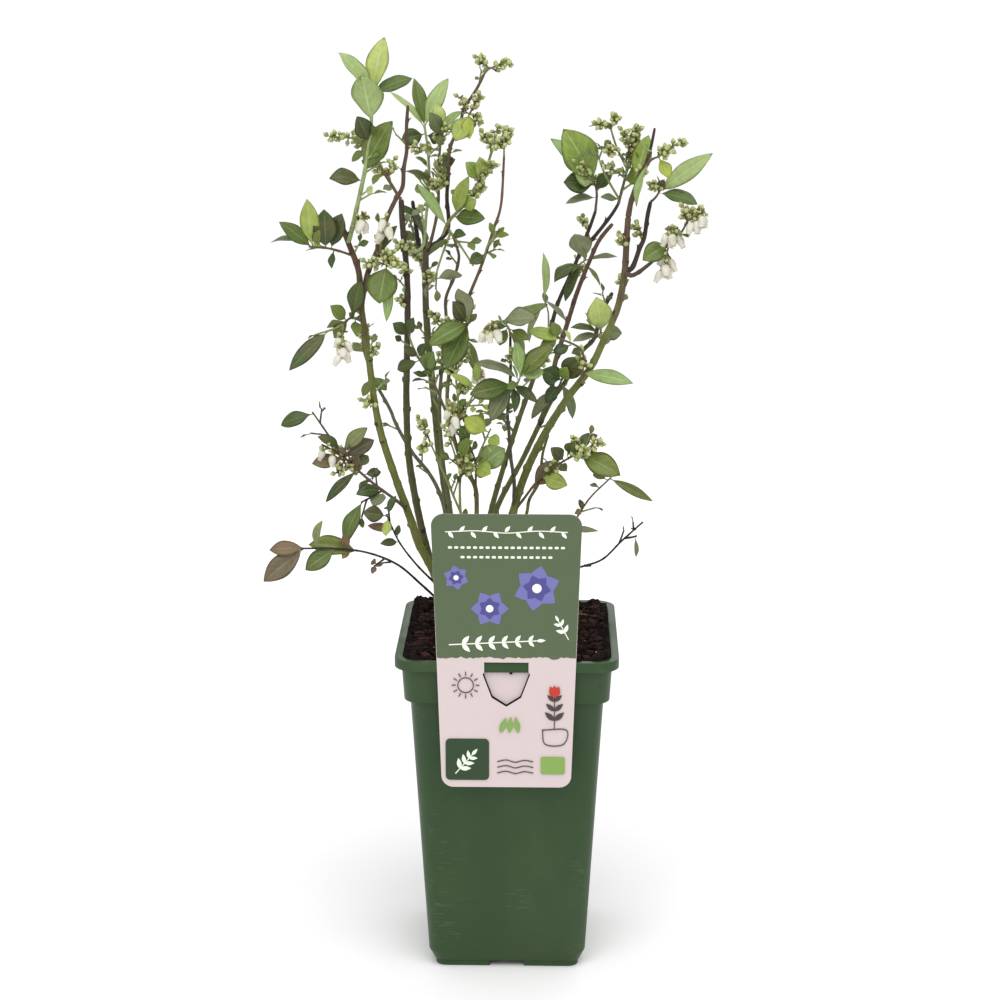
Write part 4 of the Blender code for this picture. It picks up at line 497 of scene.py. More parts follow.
def walls(sides, rings):
    """The faces between rings of points, with both ends closed."""
    faces = []
    for i in range(rings - 1):
        for k in range(sides):
            a, b = i * sides + k, i * sides + (k + 1) % sides
            faces.append((a, b, b + sides, a + sides))
    last = (rings - 1) * sides
    return [tuple(reversed(range(sides))), *faces, tuple(last + k for k in range(sides))]


def capped(sides, rings):
    """The faces of rings of points that lie between two end points."""
    faces, last = [], 1 + (rings - 1) * sides
    for k in range(sides):
        after = (k + 1) % sides
        faces += [(0, 1 + after, 1 + k), (last + k, last + after, last + sides)]
        for i in range(rings - 1):
            a, b = 1 + i * sides + k, 1 + i * sides + after
            faces.append((a, b, b + sides, a + sides))
    return faces


def tube(points, radii, sides):
    """Rings of points along a path, closed at both ends."""
    verts, side = [], side_of((points[1] - points[0]).normalized())
    for i, (point, radius) in enumerate(zip(points, radii)):
        ahead, side = carried_on(points, i, side)
        verts += [point + radius * around(ahead, math.tau * k / sides, side) for k in range(sides)]
    return verts, walls(sides, len(points))


def cane_radii(points, foot, tip, flared):
    """A cane's radius at each point, wider just above the compost."""
    whole, run, radii = span(points), 0.0, []
    for i, point in enumerate(points):
        run += (point - points[i - 1]).length if i else 0.0
        radii.append(foot + (tip - foot) * run / whole
                     + foot * FLARE * math.exp(-run / FLARE_HEIGHT) * flared)
    return radii


def clear_start(points, radius, trees, gap):
    """A path in fine steps, cut back to where its end disc stands clear of every tree."""
    fine = smooth(points, 0.25)
    for i, point in enumerate(fine[:-1]):
        heading = (fine[i + 1] - point).normalized()
        rim = [point] + [point + radius * around(heading, math.tau * k / 12) for k in range(12)]
        if all(outside(tree, spot, gap) for tree in trees for spot in rim):
            return fine[i:]
    return fine[-2:]


def outside(tree, spot, gap):
    """Whether a spot lies outside a closed shape, at least gap from it."""
    place, normal, _, distance = tree.find_nearest(spot)
    return distance >= gap and (spot - place).dot(normal) > 0


def thinned(points, step):
    """Every few points of a fine path, with both its ends."""
    count = max(2, round(span(points) / step))
    return [along(points, i / count)[0] for i in range(count + 1)]


def grow_limbs():
    """Every cane and bough as a path with its radii, and its solid's search tree."""
    limbs, trees = {}, {}
    for name, (start, knots, foot, tip) in CANES.items():
        if start:
            root = along(limbs[start[0]][0], start[1])[0]
            fine = clear_start([root, *map(Vector, knots)], foot, trees.values(), GAP + 0.05)
            knots = [fine[0], *knots]
        points = smooth(knots, CANE_STEP)
        if not start:
            points[0].z += GAP
        radii = cane_radii(points, foot, tip, not start)
        verts, faces = tube(points, radii, CANE_SIDES)
        if not start:
            for vert in verts[:CANE_SIDES]:
                vert.z = SOIL_TOP + GAP
        limbs[name] = (points, radii)
        trees[name] = BVHTree.FromPolygons(verts, faces)
    return limbs, trees


def new_piece(kind, holder, rank, **more):
    """A leaf, twig, bud or bell of the mass that its holder belongs to."""
    return {"kind": kind, "spray": holder["spray"], "holder": holder, "rank": rank, **more}


def stray(dice, low=-1.0, high=1.0):
    """A way by chance, that rises between two limits."""
    return Vector((dice.uniform(-1, 1), dice.uniform(-1, 1), dice.uniform(low, high)))


def squared(way, ahead):
    """A way made square to a heading."""
    return (way - ahead * way.dot(ahead)).normalized()


def leaf_piece(holder, root, tip, tint, dice, rank, given=()):
    """A leaf from its root to its tip, faced up and out of the crown unless its turn is given."""
    ahead = (tip - root).normalized()
    out = Vector((tip.x - CROWN[0], tip.y - CROWN[1], 0.0)).normalized()
    face = UPWARD * UP + OUTWARD * out + LOOSE * stray(dice)
    piece = new_piece("leaf", holder, rank, root=root, tip=tip, wide=dice.uniform(*LEAF_WIDE),
                      curl=dice.uniform(*LEAF_CURL), fold=dice.uniform(*LEAF_FOLD), tint=tint,
                      pick=dice.random())
    piece.update(given)
    if "turn" in piece:
        turn, front = math.radians(piece["turn"]), squared(FRONT, ahead)
        upper = ahead.cross(front)
        face = math.cos(turn) * front + math.sin(turn) * (upper if upper.z > 0 else -upper)
    piece["face"] = squared(face, ahead)
    return piece


def bloom_pieces(holder, kind, root, tip, count, dice, rank):
    """The stalk of a raceme and the buds or bells on it."""
    middle = root.lerp(tip, 0.5) + STALK_LIFT * UP
    stalk = new_piece("twig", holder, rank, points=[root, middle, tip], radii=STALK_RADII, woody=False)
    heading = (tip - root).normalized()
    long, wide = BLOOM_SIZES[kind]
    pieces = [stalk]
    length = min(RACEME, (tip - root).length * RACEME_SHARE)
    for i in range(count):
        way = around(heading, i * GOLDEN + dice.uniform(-0.4, 0.4))
        place = tip - heading * length * (i + 0.3) / count
        if kind == "bells":
            axis = BELL_SWING * way - UP
        else:
            axis = way + heading * (BUD_LEAN * (1 - i / count)) + BUD_LIFT * UP
        pieces.append(new_piece(kind, stalk, rank + 1, root=place, axis=axis.normalized(),
                                long=long * dice.uniform(0.85, 1.1), wide=wide * dice.uniform(0.9, 1.1),
                                pick=dice.random()))
    return pieces


def shoot_pieces(holder, points, radius, small, parts, dice, rank):
    """A shoot with its own leaves and spurs by rule, and the parts that the table names."""
    count, size, tint = small
    radii = [radius * (1 - (1 - SHOOT_THIN) * i / (len(points) - 1)) for i in range(len(points))]
    shoot = new_piece("twig", holder, rank, points=points, radii=radii, woody=radius > TWIG_RADIUS)
    pieces = [shoot]
    for kind, at, tip, *rest in parts:
        root, tip = socket(points, at)[0], Vector(tip)
        if kind == "leaf":
            pieces.append(leaf_piece(shoot, root, tip, rest[0], dice, rank + NAMED_RANK,
                                     rest[1]))
        elif kind == "twig":
            bow = Vector((dice.uniform(-1, 1), dice.uniform(-1, 1), -0.6)) * (root - tip).length
            path = smooth([root, root.lerp(tip, 0.5) + TWIG_BOW * bow, tip], SHOOT_STEP)
            pieces += shoot_pieces(shoot, path, TWIG_RADIUS, rest[:3], rest[3], dice, rank + 1)
        else:
            pieces += bloom_pieces(shoot, kind, root, tip, rest[0], dice, rank + NAMED_RANK)
    turn = dice.uniform(0, math.tau)
    for i in range(count):
        share = LEAF_START + (1 - LEAF_START) * (i + 0.6) / count
        turn += GOLDEN
        splay = LEAF_SPLAY[0] + (LEAF_SPLAY[1] - LEAF_SPLAY[0]) * share
        pieces.append(ruled_leaf(shoot, *socket(points, share), turn, splay,
                                 size * dice.uniform(0.8, 1.15), tint, dice, rank + RULED_RANK))
    for _ in range(int(span(points) / SPUR_SPACING)):
        pieces += spur_pieces(shoot, *socket(points, dice.uniform(0.25, 0.95)), size, tint, dice,
                              rank + RULED_RANK)
    return pieces


def splayed(heading, turn, splay, long):
    """A reach of some length, splayed from a heading on the side of a turn."""
    return (math.cos(splay) * heading + math.sin(splay) * around(heading, turn)) * long


def ruled_leaf(holder, root, heading, turn, splay, long, tint, dice, rank):
    """A leaf set by its turn round the shoot and its splay from it, drooping a little."""
    reach = splayed(heading, turn, splay, long)
    reach.z -= LEAF_DROOP * long
    return leaf_piece(holder, root, root + reach, tint, dice, rank)


def spur_pieces(holder, root, heading, size, tint, dice, rank):
    """A short side twig with two or three small leaves."""
    turn = dice.uniform(0, math.tau)
    points = [root, root + splayed(heading, turn, SPUR_SPLAY, dice.uniform(*SPUR_LENGTH))]
    spur = new_piece("twig", holder, rank, points=points, radii=SPUR_RADII, woody=False)
    pieces = [spur]
    for i in range(dice.choice(SPUR_LEAVES)):
        pieces.append(ruled_leaf(spur, *socket(points, SPUR_SOCKETS[i]), turn + i * GOLDEN,
                                 math.radians(20 + 25 * i), size * dice.uniform(*SPUR_SIZE), tint, dice,
                                 rank + 1))
    return pieces


def spread(piece, grown):
    """The points and faces of a piece's plain shape, larger by grown on all sides."""
    if piece["kind"] == "twig":
        return tube(piece["points"], [r + grown for r in piece["radii"]], TWIG_SIDES)
    root = piece["root"]
    if piece["kind"] == "leaf":
        reach = piece["tip"] - root
        long = reach.length
        ahead, face = reach / long, piece["face"]
        side = ahead.cross(face)
        middle = root + reach * LEAF_SHOULDER
        hump = face * piece["curl"] * long * LEAF_HUMP
        ridge = root + reach * LEAF_RIDGE + 0.9 * hump
        half = 0.5 * piece["wide"] * long + grown
        thick = 0.5 * LEAF_THICK * long + grown
        belt = (middle + hump + side * half, ridge + face * thick,
                middle + hump - side * half, ridge - face * thick)
        tip = piece["tip"] + ahead * grown
    else:
        ahead = piece["axis"]
        side = side_of(ahead)
        other = ahead.cross(side)
        middle = root + ahead * piece["long"] * BLOOM_BELLY
        half = 0.5 * piece["wide"] + grown
        belt = [middle + half * (math.cos(turn) * other + math.sin(turn) * side)
                for turn in (0.0, math.tau / 3, 2 * math.tau / 3)]
        tip = root + ahead * (piece["long"] + grown)
    return [root, *belt, tip], capped(len(belt), 1)


def tree_of(piece, grown=0.0):
    """A search tree of a piece's plain shape."""
    return BVHTree.FromPolygons(*spread(piece, grown))


def block(x0, x1, y0, y1, z0, z1):
    """A box's points and faces."""
    verts = [Vector((x, y, z)) for x in (x0, x1) for y in (y0, y1) for z in (z0, z1)]
    faces = [(0, 1, 3, 2), (4, 6, 7, 5), (0, 4, 5, 1), (2, 3, 7, 6), (0, 2, 6, 4), (1, 5, 7, 3)]
    return verts, faces


def far_point(piece):
    """The point of a piece that is furthest from its root."""
    if piece["kind"] == "twig":
        return piece["points"][-1]
    if piece["kind"] == "leaf":
        return piece["tip"]
    return piece["root"] + piece["axis"] * piece["long"]


def grow_masses(limbs, trees):
    """Every mass's pieces, without those that leave its space or touch something."""
    half = LIP_HALF + 1
    boxes = (block(-half, half, -half, half, 0, POT_HEIGHT + 1),
             block(-CARD_TOP_HALF, CARD_TOP_HALF, CARD_BACK - CARD_THICK, CARD_BACK, CARD_FOOT, CARD_TOP))
    solid = [*trees.values(), *(BVHTree.FromPolygons(*box) for box in boxes)]
    pieces, stems, kept = [], {}, []
    for seed, (name, (limb, share, knots, radius, small, parts)) in enumerate(MASSES.items()):
        root = along(limbs[limb][0], share)[0]
        fine = clear_start([root, *map(Vector, knots)], radius, trees.values(), GAP)
        stems[name] = thinned(fine, SHOOT_STEP)
        pieces += shoot_pieces({"spray": name, "kept": True}, stems[name], radius, small, parts,
                               random.Random(seed + SEEDS["masses"]), 0)
    for piece in sorted(pieces, key=lambda each: each["rank"]):
        piece["kept"] = False
        if not piece["holder"]["kept"]:
            continue
        if piece["rank"] >= RULED_RANK:
            tip = far_point(piece)
            if min((tip - spot).length for spot in stems[piece["spray"]]) > SPACE:
                continue
        verts, faces = spread(piece, CLEAR if piece["rank"] else 0.0)
        probe = BVHTree.FromPolygons(verts, faces)
        low, high = ([pick(v[k] for v in verts) for k in range(3)] for pick in (min, max))
        if any(probe.overlap(tree) for tree in solid):
            continue
        if any(other["spray"] != piece["spray"] and near(low, high, other) and
               probe.overlap(other["tree"]) for other in kept):
            continue
        piece.update(kept=True, tree=tree_of(piece), low=low, high=high)
        kept.append(piece)
    return kept


def near(low, high, other):
    """Whether two boxes meet."""
    return all(low[k] <= other["high"][k] and high[k] >= other["low"][k] for k in range(3))


# Finishes

def seen(red, green, blue):
    """A colour as it is seen, each part 0 to 255, as the shader takes it."""
    return tuple(((c / 255 + 0.055) / 1.055) ** 2.4 for c in (red, green, blue))


def scaled(parts, share):
    """Sizes, or the parts of a colour, times a share."""
    return tuple(share * part for part in parts)


class Finish:
    """A node material, built up one step at a time."""

    def __init__(self, name, colour, rough, specular=0.35):
        self.made = bpy.data.materials.new(name)
        self.made.use_nodes = True
        self.shader = self.made.node_tree.nodes["Principled BSDF"]
        self.feed(self.shader, {"Roughness": rough, "Specular IOR Level": specular})
        self.place = self.node("TexCoord").outputs["Object"]
        self.colour = self.node("RGB").outputs[0]
        self.colour.default_value = (*seen(*colour), 1.0)

    def feed(self, node, values):
        """Sets a node's inputs, as numbers or from other nodes."""
        for key, value in dict(values).items():
            if isinstance(value, bpy.types.NodeSocket):
                self.made.node_tree.links.new(value, node.inputs[key])
            else:
                node.inputs[key].default_value = value

    def node(self, kind, values=(), **settings):
        """One more node, with its settings and its inputs."""
        made = self.made.node_tree.nodes.new("ShaderNode" + kind)
        for key, value in settings.items():
            setattr(made, key, value)
        self.feed(made, values)
        return made

    def math(self, kind, *terms):
        """One step of arithmetic on numbers or sockets."""
        return self.node("Math", enumerate(terms), operation=kind).outputs[0]

    def times(self, a, b):
        return self.math("MULTIPLY", a, b)

    def less(self, value):
        """What is left of 1."""
        return self.math("SUBTRACT", 1.0, value)

    def ramp(self, value, low, high):
        """0 below low and 1 above high, smoothly."""
        limits = {"Value": value, "From Min": low, "From Max": high}
        return self.node("MapRange", limits, interpolation_type="SMOOTHSTEP").outputs["Result"]

    def noise(self, scale, low=0.4, high=0.6, stretch=(1.0, 1.0, 1.0), detail=3.0):
        """Patches of a size of about 1 / scale metres."""
        place = self.node("Mapping", {"Scale": stretch, "Vector": self.place}).outputs[0]
        noisy = self.node("TexNoise", {"Scale": scale, "Detail": detail, "Vector": place})
        return self.ramp(noisy.outputs["Fac"], low, high)

    def paint(self, share, colour):
        """Lays another colour over the one there, by a share."""
        values = {"Factor": share, "A": self.colour, "B": (*seen(*colour), 1.0)}
        self.colour = self.node("Mix", values, data_type="RGBA").outputs["Result"]

    def patches(self, colour, share, *noisy):
        """Lays patches of another colour over the one there."""
        self.paint(self.times(self.noise(*noisy), share), colour)

    def relief(self, share, depth, strength=0.6):
        """Raises the surface by a share of a depth in millimetres."""
        bump = self.node("Bump", {"Strength": strength, "Distance": depth * MM, "Height": share})
        self.feed(self.shader, {"Normal": bump.outputs[0]})
        return self

    def done(self):
        """The finished material."""
        self.feed(self.shader, {"Base Color": self.colour})
        return self.made


def leaf_finish(name, colour, vein, flush, rough, specular):
    """A leaf's face: midrib and side veins a little paler than the blade between them."""
    finish = Finish(name, colour, rough, specular)
    flat = finish.node("UVMap", uv_map="leaf").outputs[0]
    spot = finish.node("SeparateXYZ", {0: flat})
    along_it, across = spot.outputs[0], spot.outputs[1]
    away = finish.math("ABSOLUTE", finish.math("MULTIPLY_ADD", across, 2.0, -1.0))
    midrib = finish.less(finish.ramp(away, 0.02, 0.09))
    slant = finish.math("MULTIPLY_ADD", away, -0.30, along_it)
    saw = finish.math("PINGPONG", finish.times(slant, SIDE_VEINS), 0.5)
    side_veins = finish.times(finish.less(finish.ramp(saw, 0.0, 0.13)),
                              finish.less(finish.ramp(away, 0.55, 1.0)))
    finish.patches(BRONZE, flush, 45.0, 0.48, 0.62)
    finish.patches(scaled(colour, 0.74), 0.34, 260.0, 0.35, 0.7)
    finish.paint(finish.times(side_veins, 0.22), vein)
    finish.paint(finish.times(midrib, 0.50), vein)
    finish.paint(finish.times(finish.less(finish.ramp(along_it, 0.03, 0.16)), 0.5), LEAF_FOOT)
    return finish.relief(finish.less(finish.math("MAXIMUM", side_veins, midrib)), 0.25, 0.45).done()


# Joined pieces

class Gather:
    """Points, faces, flat maps and finishes gathered for one joined piece."""

    def __init__(self):
        self.verts, self.faces, self.spots, self.kinds = [], [], [], []

    def add(self, verts, faces, spots=None, kinds=0):
        first = len(self.verts)
        self.verts += verts
        self.faces += [tuple(first + k for k in face) for face in faces]
        self.spots += spots if spots else [(0.5, 0.5)] * len(verts)
        self.kinds += kinds if isinstance(kinds, list) else [kinds] * len(faces)


def put(name, data):
    """An object of the scene."""
    made = bpy.data.objects.new(name, data)
    bpy.context.scene.collection.objects.link(made)
    return made


def add_piece(name, shape, finishes, stands_for=(), round_off=True):
    """A piece of the scene from what was gathered, riding on the frame."""
    mesh = bpy.data.meshes.new(name)
    mesh.from_pydata([(v[0] * MM, v[1] * MM, v[2] * MM) for v in shape.verts], [], shape.faces)
    for finish in finishes:
        mesh.materials.append(finish)
    mesh.polygons.foreach_set("material_index", shape.kinds)
    flat = mesh.uv_layers.new(name="leaf")
    corners = np.zeros(len(mesh.loops), dtype=np.int32)
    mesh.loops.foreach_get("vertex_index", corners)
    flat.data.foreach_set("uv", np.array(shape.spots, dtype=np.float32)[corners].ravel())
    if round_off:
        mesh.shade_smooth()
    mesh.update()
    carried(put(name, mesh), stands_for)


def carried(made, stands_for=()):
    """Has a piece ride on the frame, and hides the solids that it stands for."""
    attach(made, "root")
    if stands_for:
        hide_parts(*stands_for)


def turned(root, axis, rows, sides, lobes=0.0):
    """A turned shape along an axis from (run, radius) rows, with every other point drawn in by lobes."""
    verts = [root + axis * rows[0][0]]
    for run, radius in rows:
        verts += [root + axis * run
                  + radius * (1 - lobes * (k % 2)) * around(axis, math.tau * k / sides)
                  for k in range(sides)]
    return [*verts, root + axis * rows[-1][0]], capped(sides, len(rows))


# Leaves

SIDE_VEINS = 6.5
LEAF_ROWS = 12
LEAF_ACROSS = (-1.0, -0.68, -0.34, 0.0, 0.34, 0.68, 1.0)
LEAF_SHEET = 0.24
LEAF_FULL = 1.12  # a curved outline beside the plain one of the same width
LEAF_ROUND = 0.82  # how full the outline's curve is, from 1 down
LEAF_BELLY = 0.10  # how far each half bulges beside its width
LEAF_TIP_DROOP = 0.09  # how far the tip bends down beside the length, from a share of it on
LEAF_BENDS_FROM = 0.6
LEAF_WAVE = 0.075  # how high its edge waves beside its width, and how fast along it
LEAF_WAVES = 13
STALK_LONG = 2.6
STALK_HALF = 0.42
# Colours of the two faces of each kind of leaf, of its veins, and its share of bronze flush
LEAF_COLOURS = {
    "young": ((158, 178, 112), (152, 170, 108), (192, 206, 152), 0.0),
    "yellow": ((150, 168, 78), (164, 180, 106), (186, 200, 124), 0.06),
    "green": ((92, 112, 44), (124, 136, 84), (138, 152, 92), 0.20),
    "dark": ((60, 78, 32), (98, 110, 70), (112, 126, 76), 0.26),
    "grey": ((112, 122, 86), (134, 140, 106), (148, 154, 116), 0.15),
    "plum": ((100, 90, 66), (124, 114, 90), (140, 126, 98), 0.60),
}
BRONZE = (112, 78, 56)
LEAF_FOOT = (150, 136, 92)
SHADES = {"a": (1.0, 1.0, 1.0), "b": (0.86, 0.90, 0.84), "c": (1.08, 1.04, 0.90)}


def blade(plan):
    """A leaf as a thin closed sheet: its stalk, fold, hump and waved edge, with its flat map."""
    root, face, pick = plan["root"], plan["face"], plan["pick"]
    reach = plan["tip"] - root
    long = reach.length
    side = (reach / long).cross(face)
    half = 0.5 * plan["wide"] * long * LEAF_FULL
    stalk = min(0.16, STALK_LONG / long)
    top, spots = [], []
    for i in range(LEAF_ROWS + 1):
        share = i / LEAF_ROWS
        run = max(0.0, (share - stalk) / (1 - stalk))
        outline = math.sin(math.pi * run ** (0.9 + 0.25 * pick)) ** LEAF_ROUND
        broad = max(half * outline, STALK_HALF * (1 - 0.8 * share))
        fold = plan["fold"] * (1.15 - 0.6 * share)
        bent = (max(0.0, share - LEAF_BENDS_FROM) / (1 - LEAF_BENDS_FROM)) ** 2
        lift = plan["curl"] * long * share * (1 - share) - LEAF_TIP_DROOP * long * bent * pick
        for across in LEAF_ACROSS:
            out = abs(across)
            wave = LEAF_WAVE * half * out * math.sin(LEAF_WAVES * share + 9 * pick + 2.1 * (across > 0))
            rise = out * broad * math.sin(fold) + LEAF_BELLY * broad * (1 - (2 * out - 1) ** 2) + wave
            top.append(root + reach * share + side * (across * broad * math.cos(fold))
                       + face * (lift + rise))
            spots.append((share, 0.5 + 0.5 * across))
    wide, verts, under = len(LEAF_ACROSS), list(top), {}
    for i in range(1, LEAF_ROWS):
        for k in range(i * wide + 1, (i + 1) * wide - 1):
            under[k] = len(verts)
            verts.append(top[k] - face * LEAF_SHEET)
            spots.append(spots[k])
    faces = []
    for i in range(LEAF_ROWS):
        for a in range(i * wide, (i + 1) * wide - 1):
            quad = (a, a + 1, a + wide + 1, a + wide)
            faces += [quad[::-1], tuple(under.get(v, v) for v in quad)]
    return verts, faces, spots, [0, 1] * (len(faces) // 2)


# Shoots, buds and bells

SHOOT_SIDES = 7
# Each bloom: how thick it is drawn, its stalk as shares of its length with radii in millimetres,
# then its cup and its petals as shares of its length and of its half width, and how deep its lobes
# and how many its sides are
BLOOM_SHAPES = {
    "buds": (0.45, ((0.0, 0.34), (0.26, 0.36)),
             ((0.34, 0.55), (0.48, 0.98), (0.62, 1.12), (0.70, 1.16), (0.66, 0.80)),
             ((0.56, 0.9), (0.70, 0.96), (0.86, 0.70), (1.0, 0.32), (1.06, 0.08)), 0.10, 9),
    "bells": (0.41, ((0.0, 0.36), (0.20, 0.40)), ((0.25, 0.42), (0.32, 0.66), (0.40, 0.80), (0.35, 0.50)),
              ((0.30, 0.40), (0.36, 0.80), (0.50, 1.04), (0.66, 1.00), (0.82, 0.80), (0.93, 0.60),
               (0.96, 0.62), (1.0, 0.76), (0.985, 0.60), (0.93, 0.50), (0.70, 0.70)), 0.22, 10),
}
CUP_SIDES = 10
SCALES = 9  # small brown scales along a raceme's stalk
SCALE_LONG = (2.2, 4.8)
FINER_SPACING = 15.0
FINER_SIZE = 12.0
EXTRA_BUDS = 1.5  # more small buds beside each that the solids hold
EXTRA_SIZE = 0.78
BELL_BUDS = 6  # small buds among the bells of a raceme
CLUSTER_SPACING = 15.0  # further racemes along a stem that carries buds
CLUSTER_LONG = (8.0, 14.0)
CLUSTER_CLEAR = 2.5
# Small spurs straight from the limbs: from which share of a limb on, how often, how many of them bear buds
TUFT_FROM = {"cane": 0.55, "boug": 0.2}
TUFT_SPACING = 22.0
TUFT_BUDDING = 0.35
TUFT_TINTS = ("green", "dark", "young", "grey")
FINE_RANK = 9
EXTRA_RANK = 12
TWIG_COLOURS = {"green": (130, 138, 84), "pale": (150, 166, 110), "brown": (98, 84, 60),
                "plum": (82, 66, 54), "dead": (40, 33, 30)}
# Stems that differ from the rest: young and pale, or dead and black
STEM_KINDS = {"spray_left_tip": "pale", "spray_young_second": "pale", "spray_dead_twig": "dead",
              "spray_low_left": "dead", "spray_low_left_inner": "dead", "spray_tall_right": "green",
              "spray_vine": "green"}
# Stems with no finer leaves
BARE = ("spray_dead_twig", "spray_right_outer", "spray_low_left", "spray_low_left_inner")


def shoot_tube(plan, start):
    """A shoot as a smooth tube that swells a little at its joints."""
    points = smooth([*start, *plan["points"]], 1.9)
    first, last = plan["radii"][0], plan["radii"][-1]
    radii = []
    for i in range(len(points)):
        share = i / (len(points) - 1)
        joint = 0.16 * max(0.0, math.cos(len(points) * share * 0.9)) ** 6
        radii.append((first + (last - first) * share) * (0.92 + joint))
    return tube(points, radii, SHOOT_SIDES)


def bloom_shapes(plan):
    """A bud or bell: its stalk with the lobed cup, and its dome or urn of petals."""
    fit, stalk, cup, petals, lobes, sides = BLOOM_SHAPES[plan["kind"]]
    root, axis, long, half = plan["root"], plan["axis"], plan["long"], fit * plan["wide"]
    cup = [(run * long, radius) for run, radius in stalk] + [(run * long, wide * half) for run, wide in cup]
    return (turned(root, axis, cup, CUP_SIDES, lobes),
            turned(root, axis, [(run * long, wide * half) for run, wide in petals], sides))


def scale_plans(points, dice):
    """The small brown scales along the stalk of a raceme."""
    made = []
    for i in range(SCALES):
        root, heading = socket(points, dice.uniform(0.0, 0.95))
        out = around(heading, i * GOLDEN)
        tip = root + (heading * 0.8 + out).normalized() * dice.uniform(*SCALE_LONG)
        face = squared((heading - 0.5 * out).normalized(), (tip - root).normalized())
        made.append({"root": root, "tip": tip, "face": face, "wide": 0.55, "curl": 0.2, "fold": 0.6,
                     "pick": dice.random()})
    return made


def more_buds(plan, blooms, dice):
    """The small buds that fill a raceme out, between those that the solids hold."""
    reach = plan["points"][-1] - plan["points"][0]
    heading, length = reach.normalized(), min(RACEME, reach.length * RACEME_SHARE)
    count = BELL_BUDS if blooms[0]["kind"] == "bells" else round(EXTRA_BUDS * len(blooms))
    made = []
    for i in range(count):
        way = around(heading, 1.7 + i * GOLDEN + dice.uniform(-0.5, 0.5))
        place = plan["points"][-1] - heading * length * (i + dice.uniform(0.3, 0.9)) / count
        axis = (way + heading * dice.uniform(0.0, 0.9) + BUD_LIFT * UP).normalized()
        long, wide = scaled(BLOOM_SIZES["buds"], EXTRA_SIZE * dice.uniform(0.75, 1.15))
        made.append(new_piece("buds", plan, EXTRA_RANK, root=place, axis=axis, long=long, wide=wide,
                              pick=dice.random(), kept=True))
    return made


def crosses(probe, piece, leaves):
    """Whether a small piece would stick out through one of the leaves that the solids hold."""
    spot = far_point(piece)
    return any((leaf["tip"] + leaf["root"] - 2 * spot).length < 3 * (leaf["tip"] - leaf["root"]).length
               and probe.overlap(leaf["tree"]) for leaf in leaves)


def cluster(holder, root, heading, low, count, dice):
    """A small raceme of buds beside a shoot or limb."""
    tip = root + (heading + stray(dice, low, 0.8)).normalized() * dice.uniform(*CLUSTER_LONG)
    return bloom_pieces(holder, "buds", root, tip, count, dice, FINE_RANK)


def keep(pieces):
    for piece in pieces:
        piece["kept"] = True
    return pieces


def finer(kept, leaves, trees):
    """Side twigs with small leaves, and buds, that carry the rule on below what the solids hold."""
    more = []
    for number, plan in enumerate(kept):
        if plan["kind"] != "twig":
            continue
        dice = random.Random(number + SEEDS["finer"])
        blooms = blooms_of(plan, kept)
        if blooms:
            more += more_buds(plan, blooms, dice)
            continue
        if plan["rank"] > RULED_RANK or plan["spray"] in BARE:
            continue
        points, whole = plan["points"], span(plan["points"])
        if plan["woody"] and any(part[0] == "buds" for part in MASSES[plan["spray"]][5]):
            for _ in range(int(whole / CLUSTER_SPACING)):
                extra = cluster(plan, *socket(points, dice.uniform(0.3, 0.98)), -0.2, 6, dice)
                probe = tree_of(extra[0], CLUSTER_CLEAR)
                if not any(probe.overlap(tree) for tree in trees):
                    more += keep(extra) + more_buds(extra[0], extra[1:], dice)
        tint = next((p["tint"] for p in kept if p["kind"] == "leaf" and p["holder"] is plan), "green")
        for _ in range(int(whole / FINER_SPACING)):
            for extra in spur_pieces(plan, *socket(points, dice.uniform(0.15, 0.98)), FINER_SIZE, tint,
                                     dice, FINE_RANK):
                probe = tree_of(extra, 0.1)
                extra["kept"] = (extra["holder"]["kept"] and not any(probe.overlap(t) for t in trees)
                                 and not crosses(probe, extra, leaves))
                if extra["kept"]:
                    more.append(extra)
    return more


def tufts(limbs, trees, leaves):
    """Small leafy or budding spurs that grow straight from the limbs, between the masses."""
    more = []
    for number, (name, (points, _)) in enumerate(limbs.items()):
        owner = next((mass for mass, row in MASSES.items() if row[0] == name), None)
        if owner is None:
            continue
        dice, holder = random.Random(number + SEEDS["tufts"]), {"spray": owner, "kept": True}
        others = [tree for limb, tree in trees.items() if limb != name]
        foot = TUFT_FROM[name[:4]]
        for _ in range(int((1 - foot) * span(points) / TUFT_SPACING)):
            root, heading = socket(points, dice.uniform(foot, 0.97))
            if dice.random() < TUFT_BUDDING:
                made = cluster(holder, root, 0.7 * heading, 0.0, 5, dice)
                made += more_buds(made[0], made[1:], dice)
            else:
                made = spur_pieces(holder, root, heading, FINER_SIZE, dice.choice(TUFT_TINTS), dice,
                                   FINE_RANK)
            probes = [tree_of(piece, 0.3) for piece in made]
            if not (any(probe.overlap(tree) for probe in probes for tree in others)
                    or any(crosses(probe, piece, leaves) for probe, piece in zip(probes, made))):
                more += keep(made)
    return more


def blooms_of(plan, kept):
    """The buds or bells on a stalk."""
    return [p for p in kept if p["holder"] is plan and p["kind"] in BLOOM_SHAPES]


def stem_kind(plan):
    """Which of the twig colours a shoot has."""
    tint = MASSES[plan["spray"]][4][2]
    kind = STEM_KINDS.get(plan["spray"], tint if tint == "plum" else "brown")
    return "green" if kind == "brown" and not plan["woody"] else kind


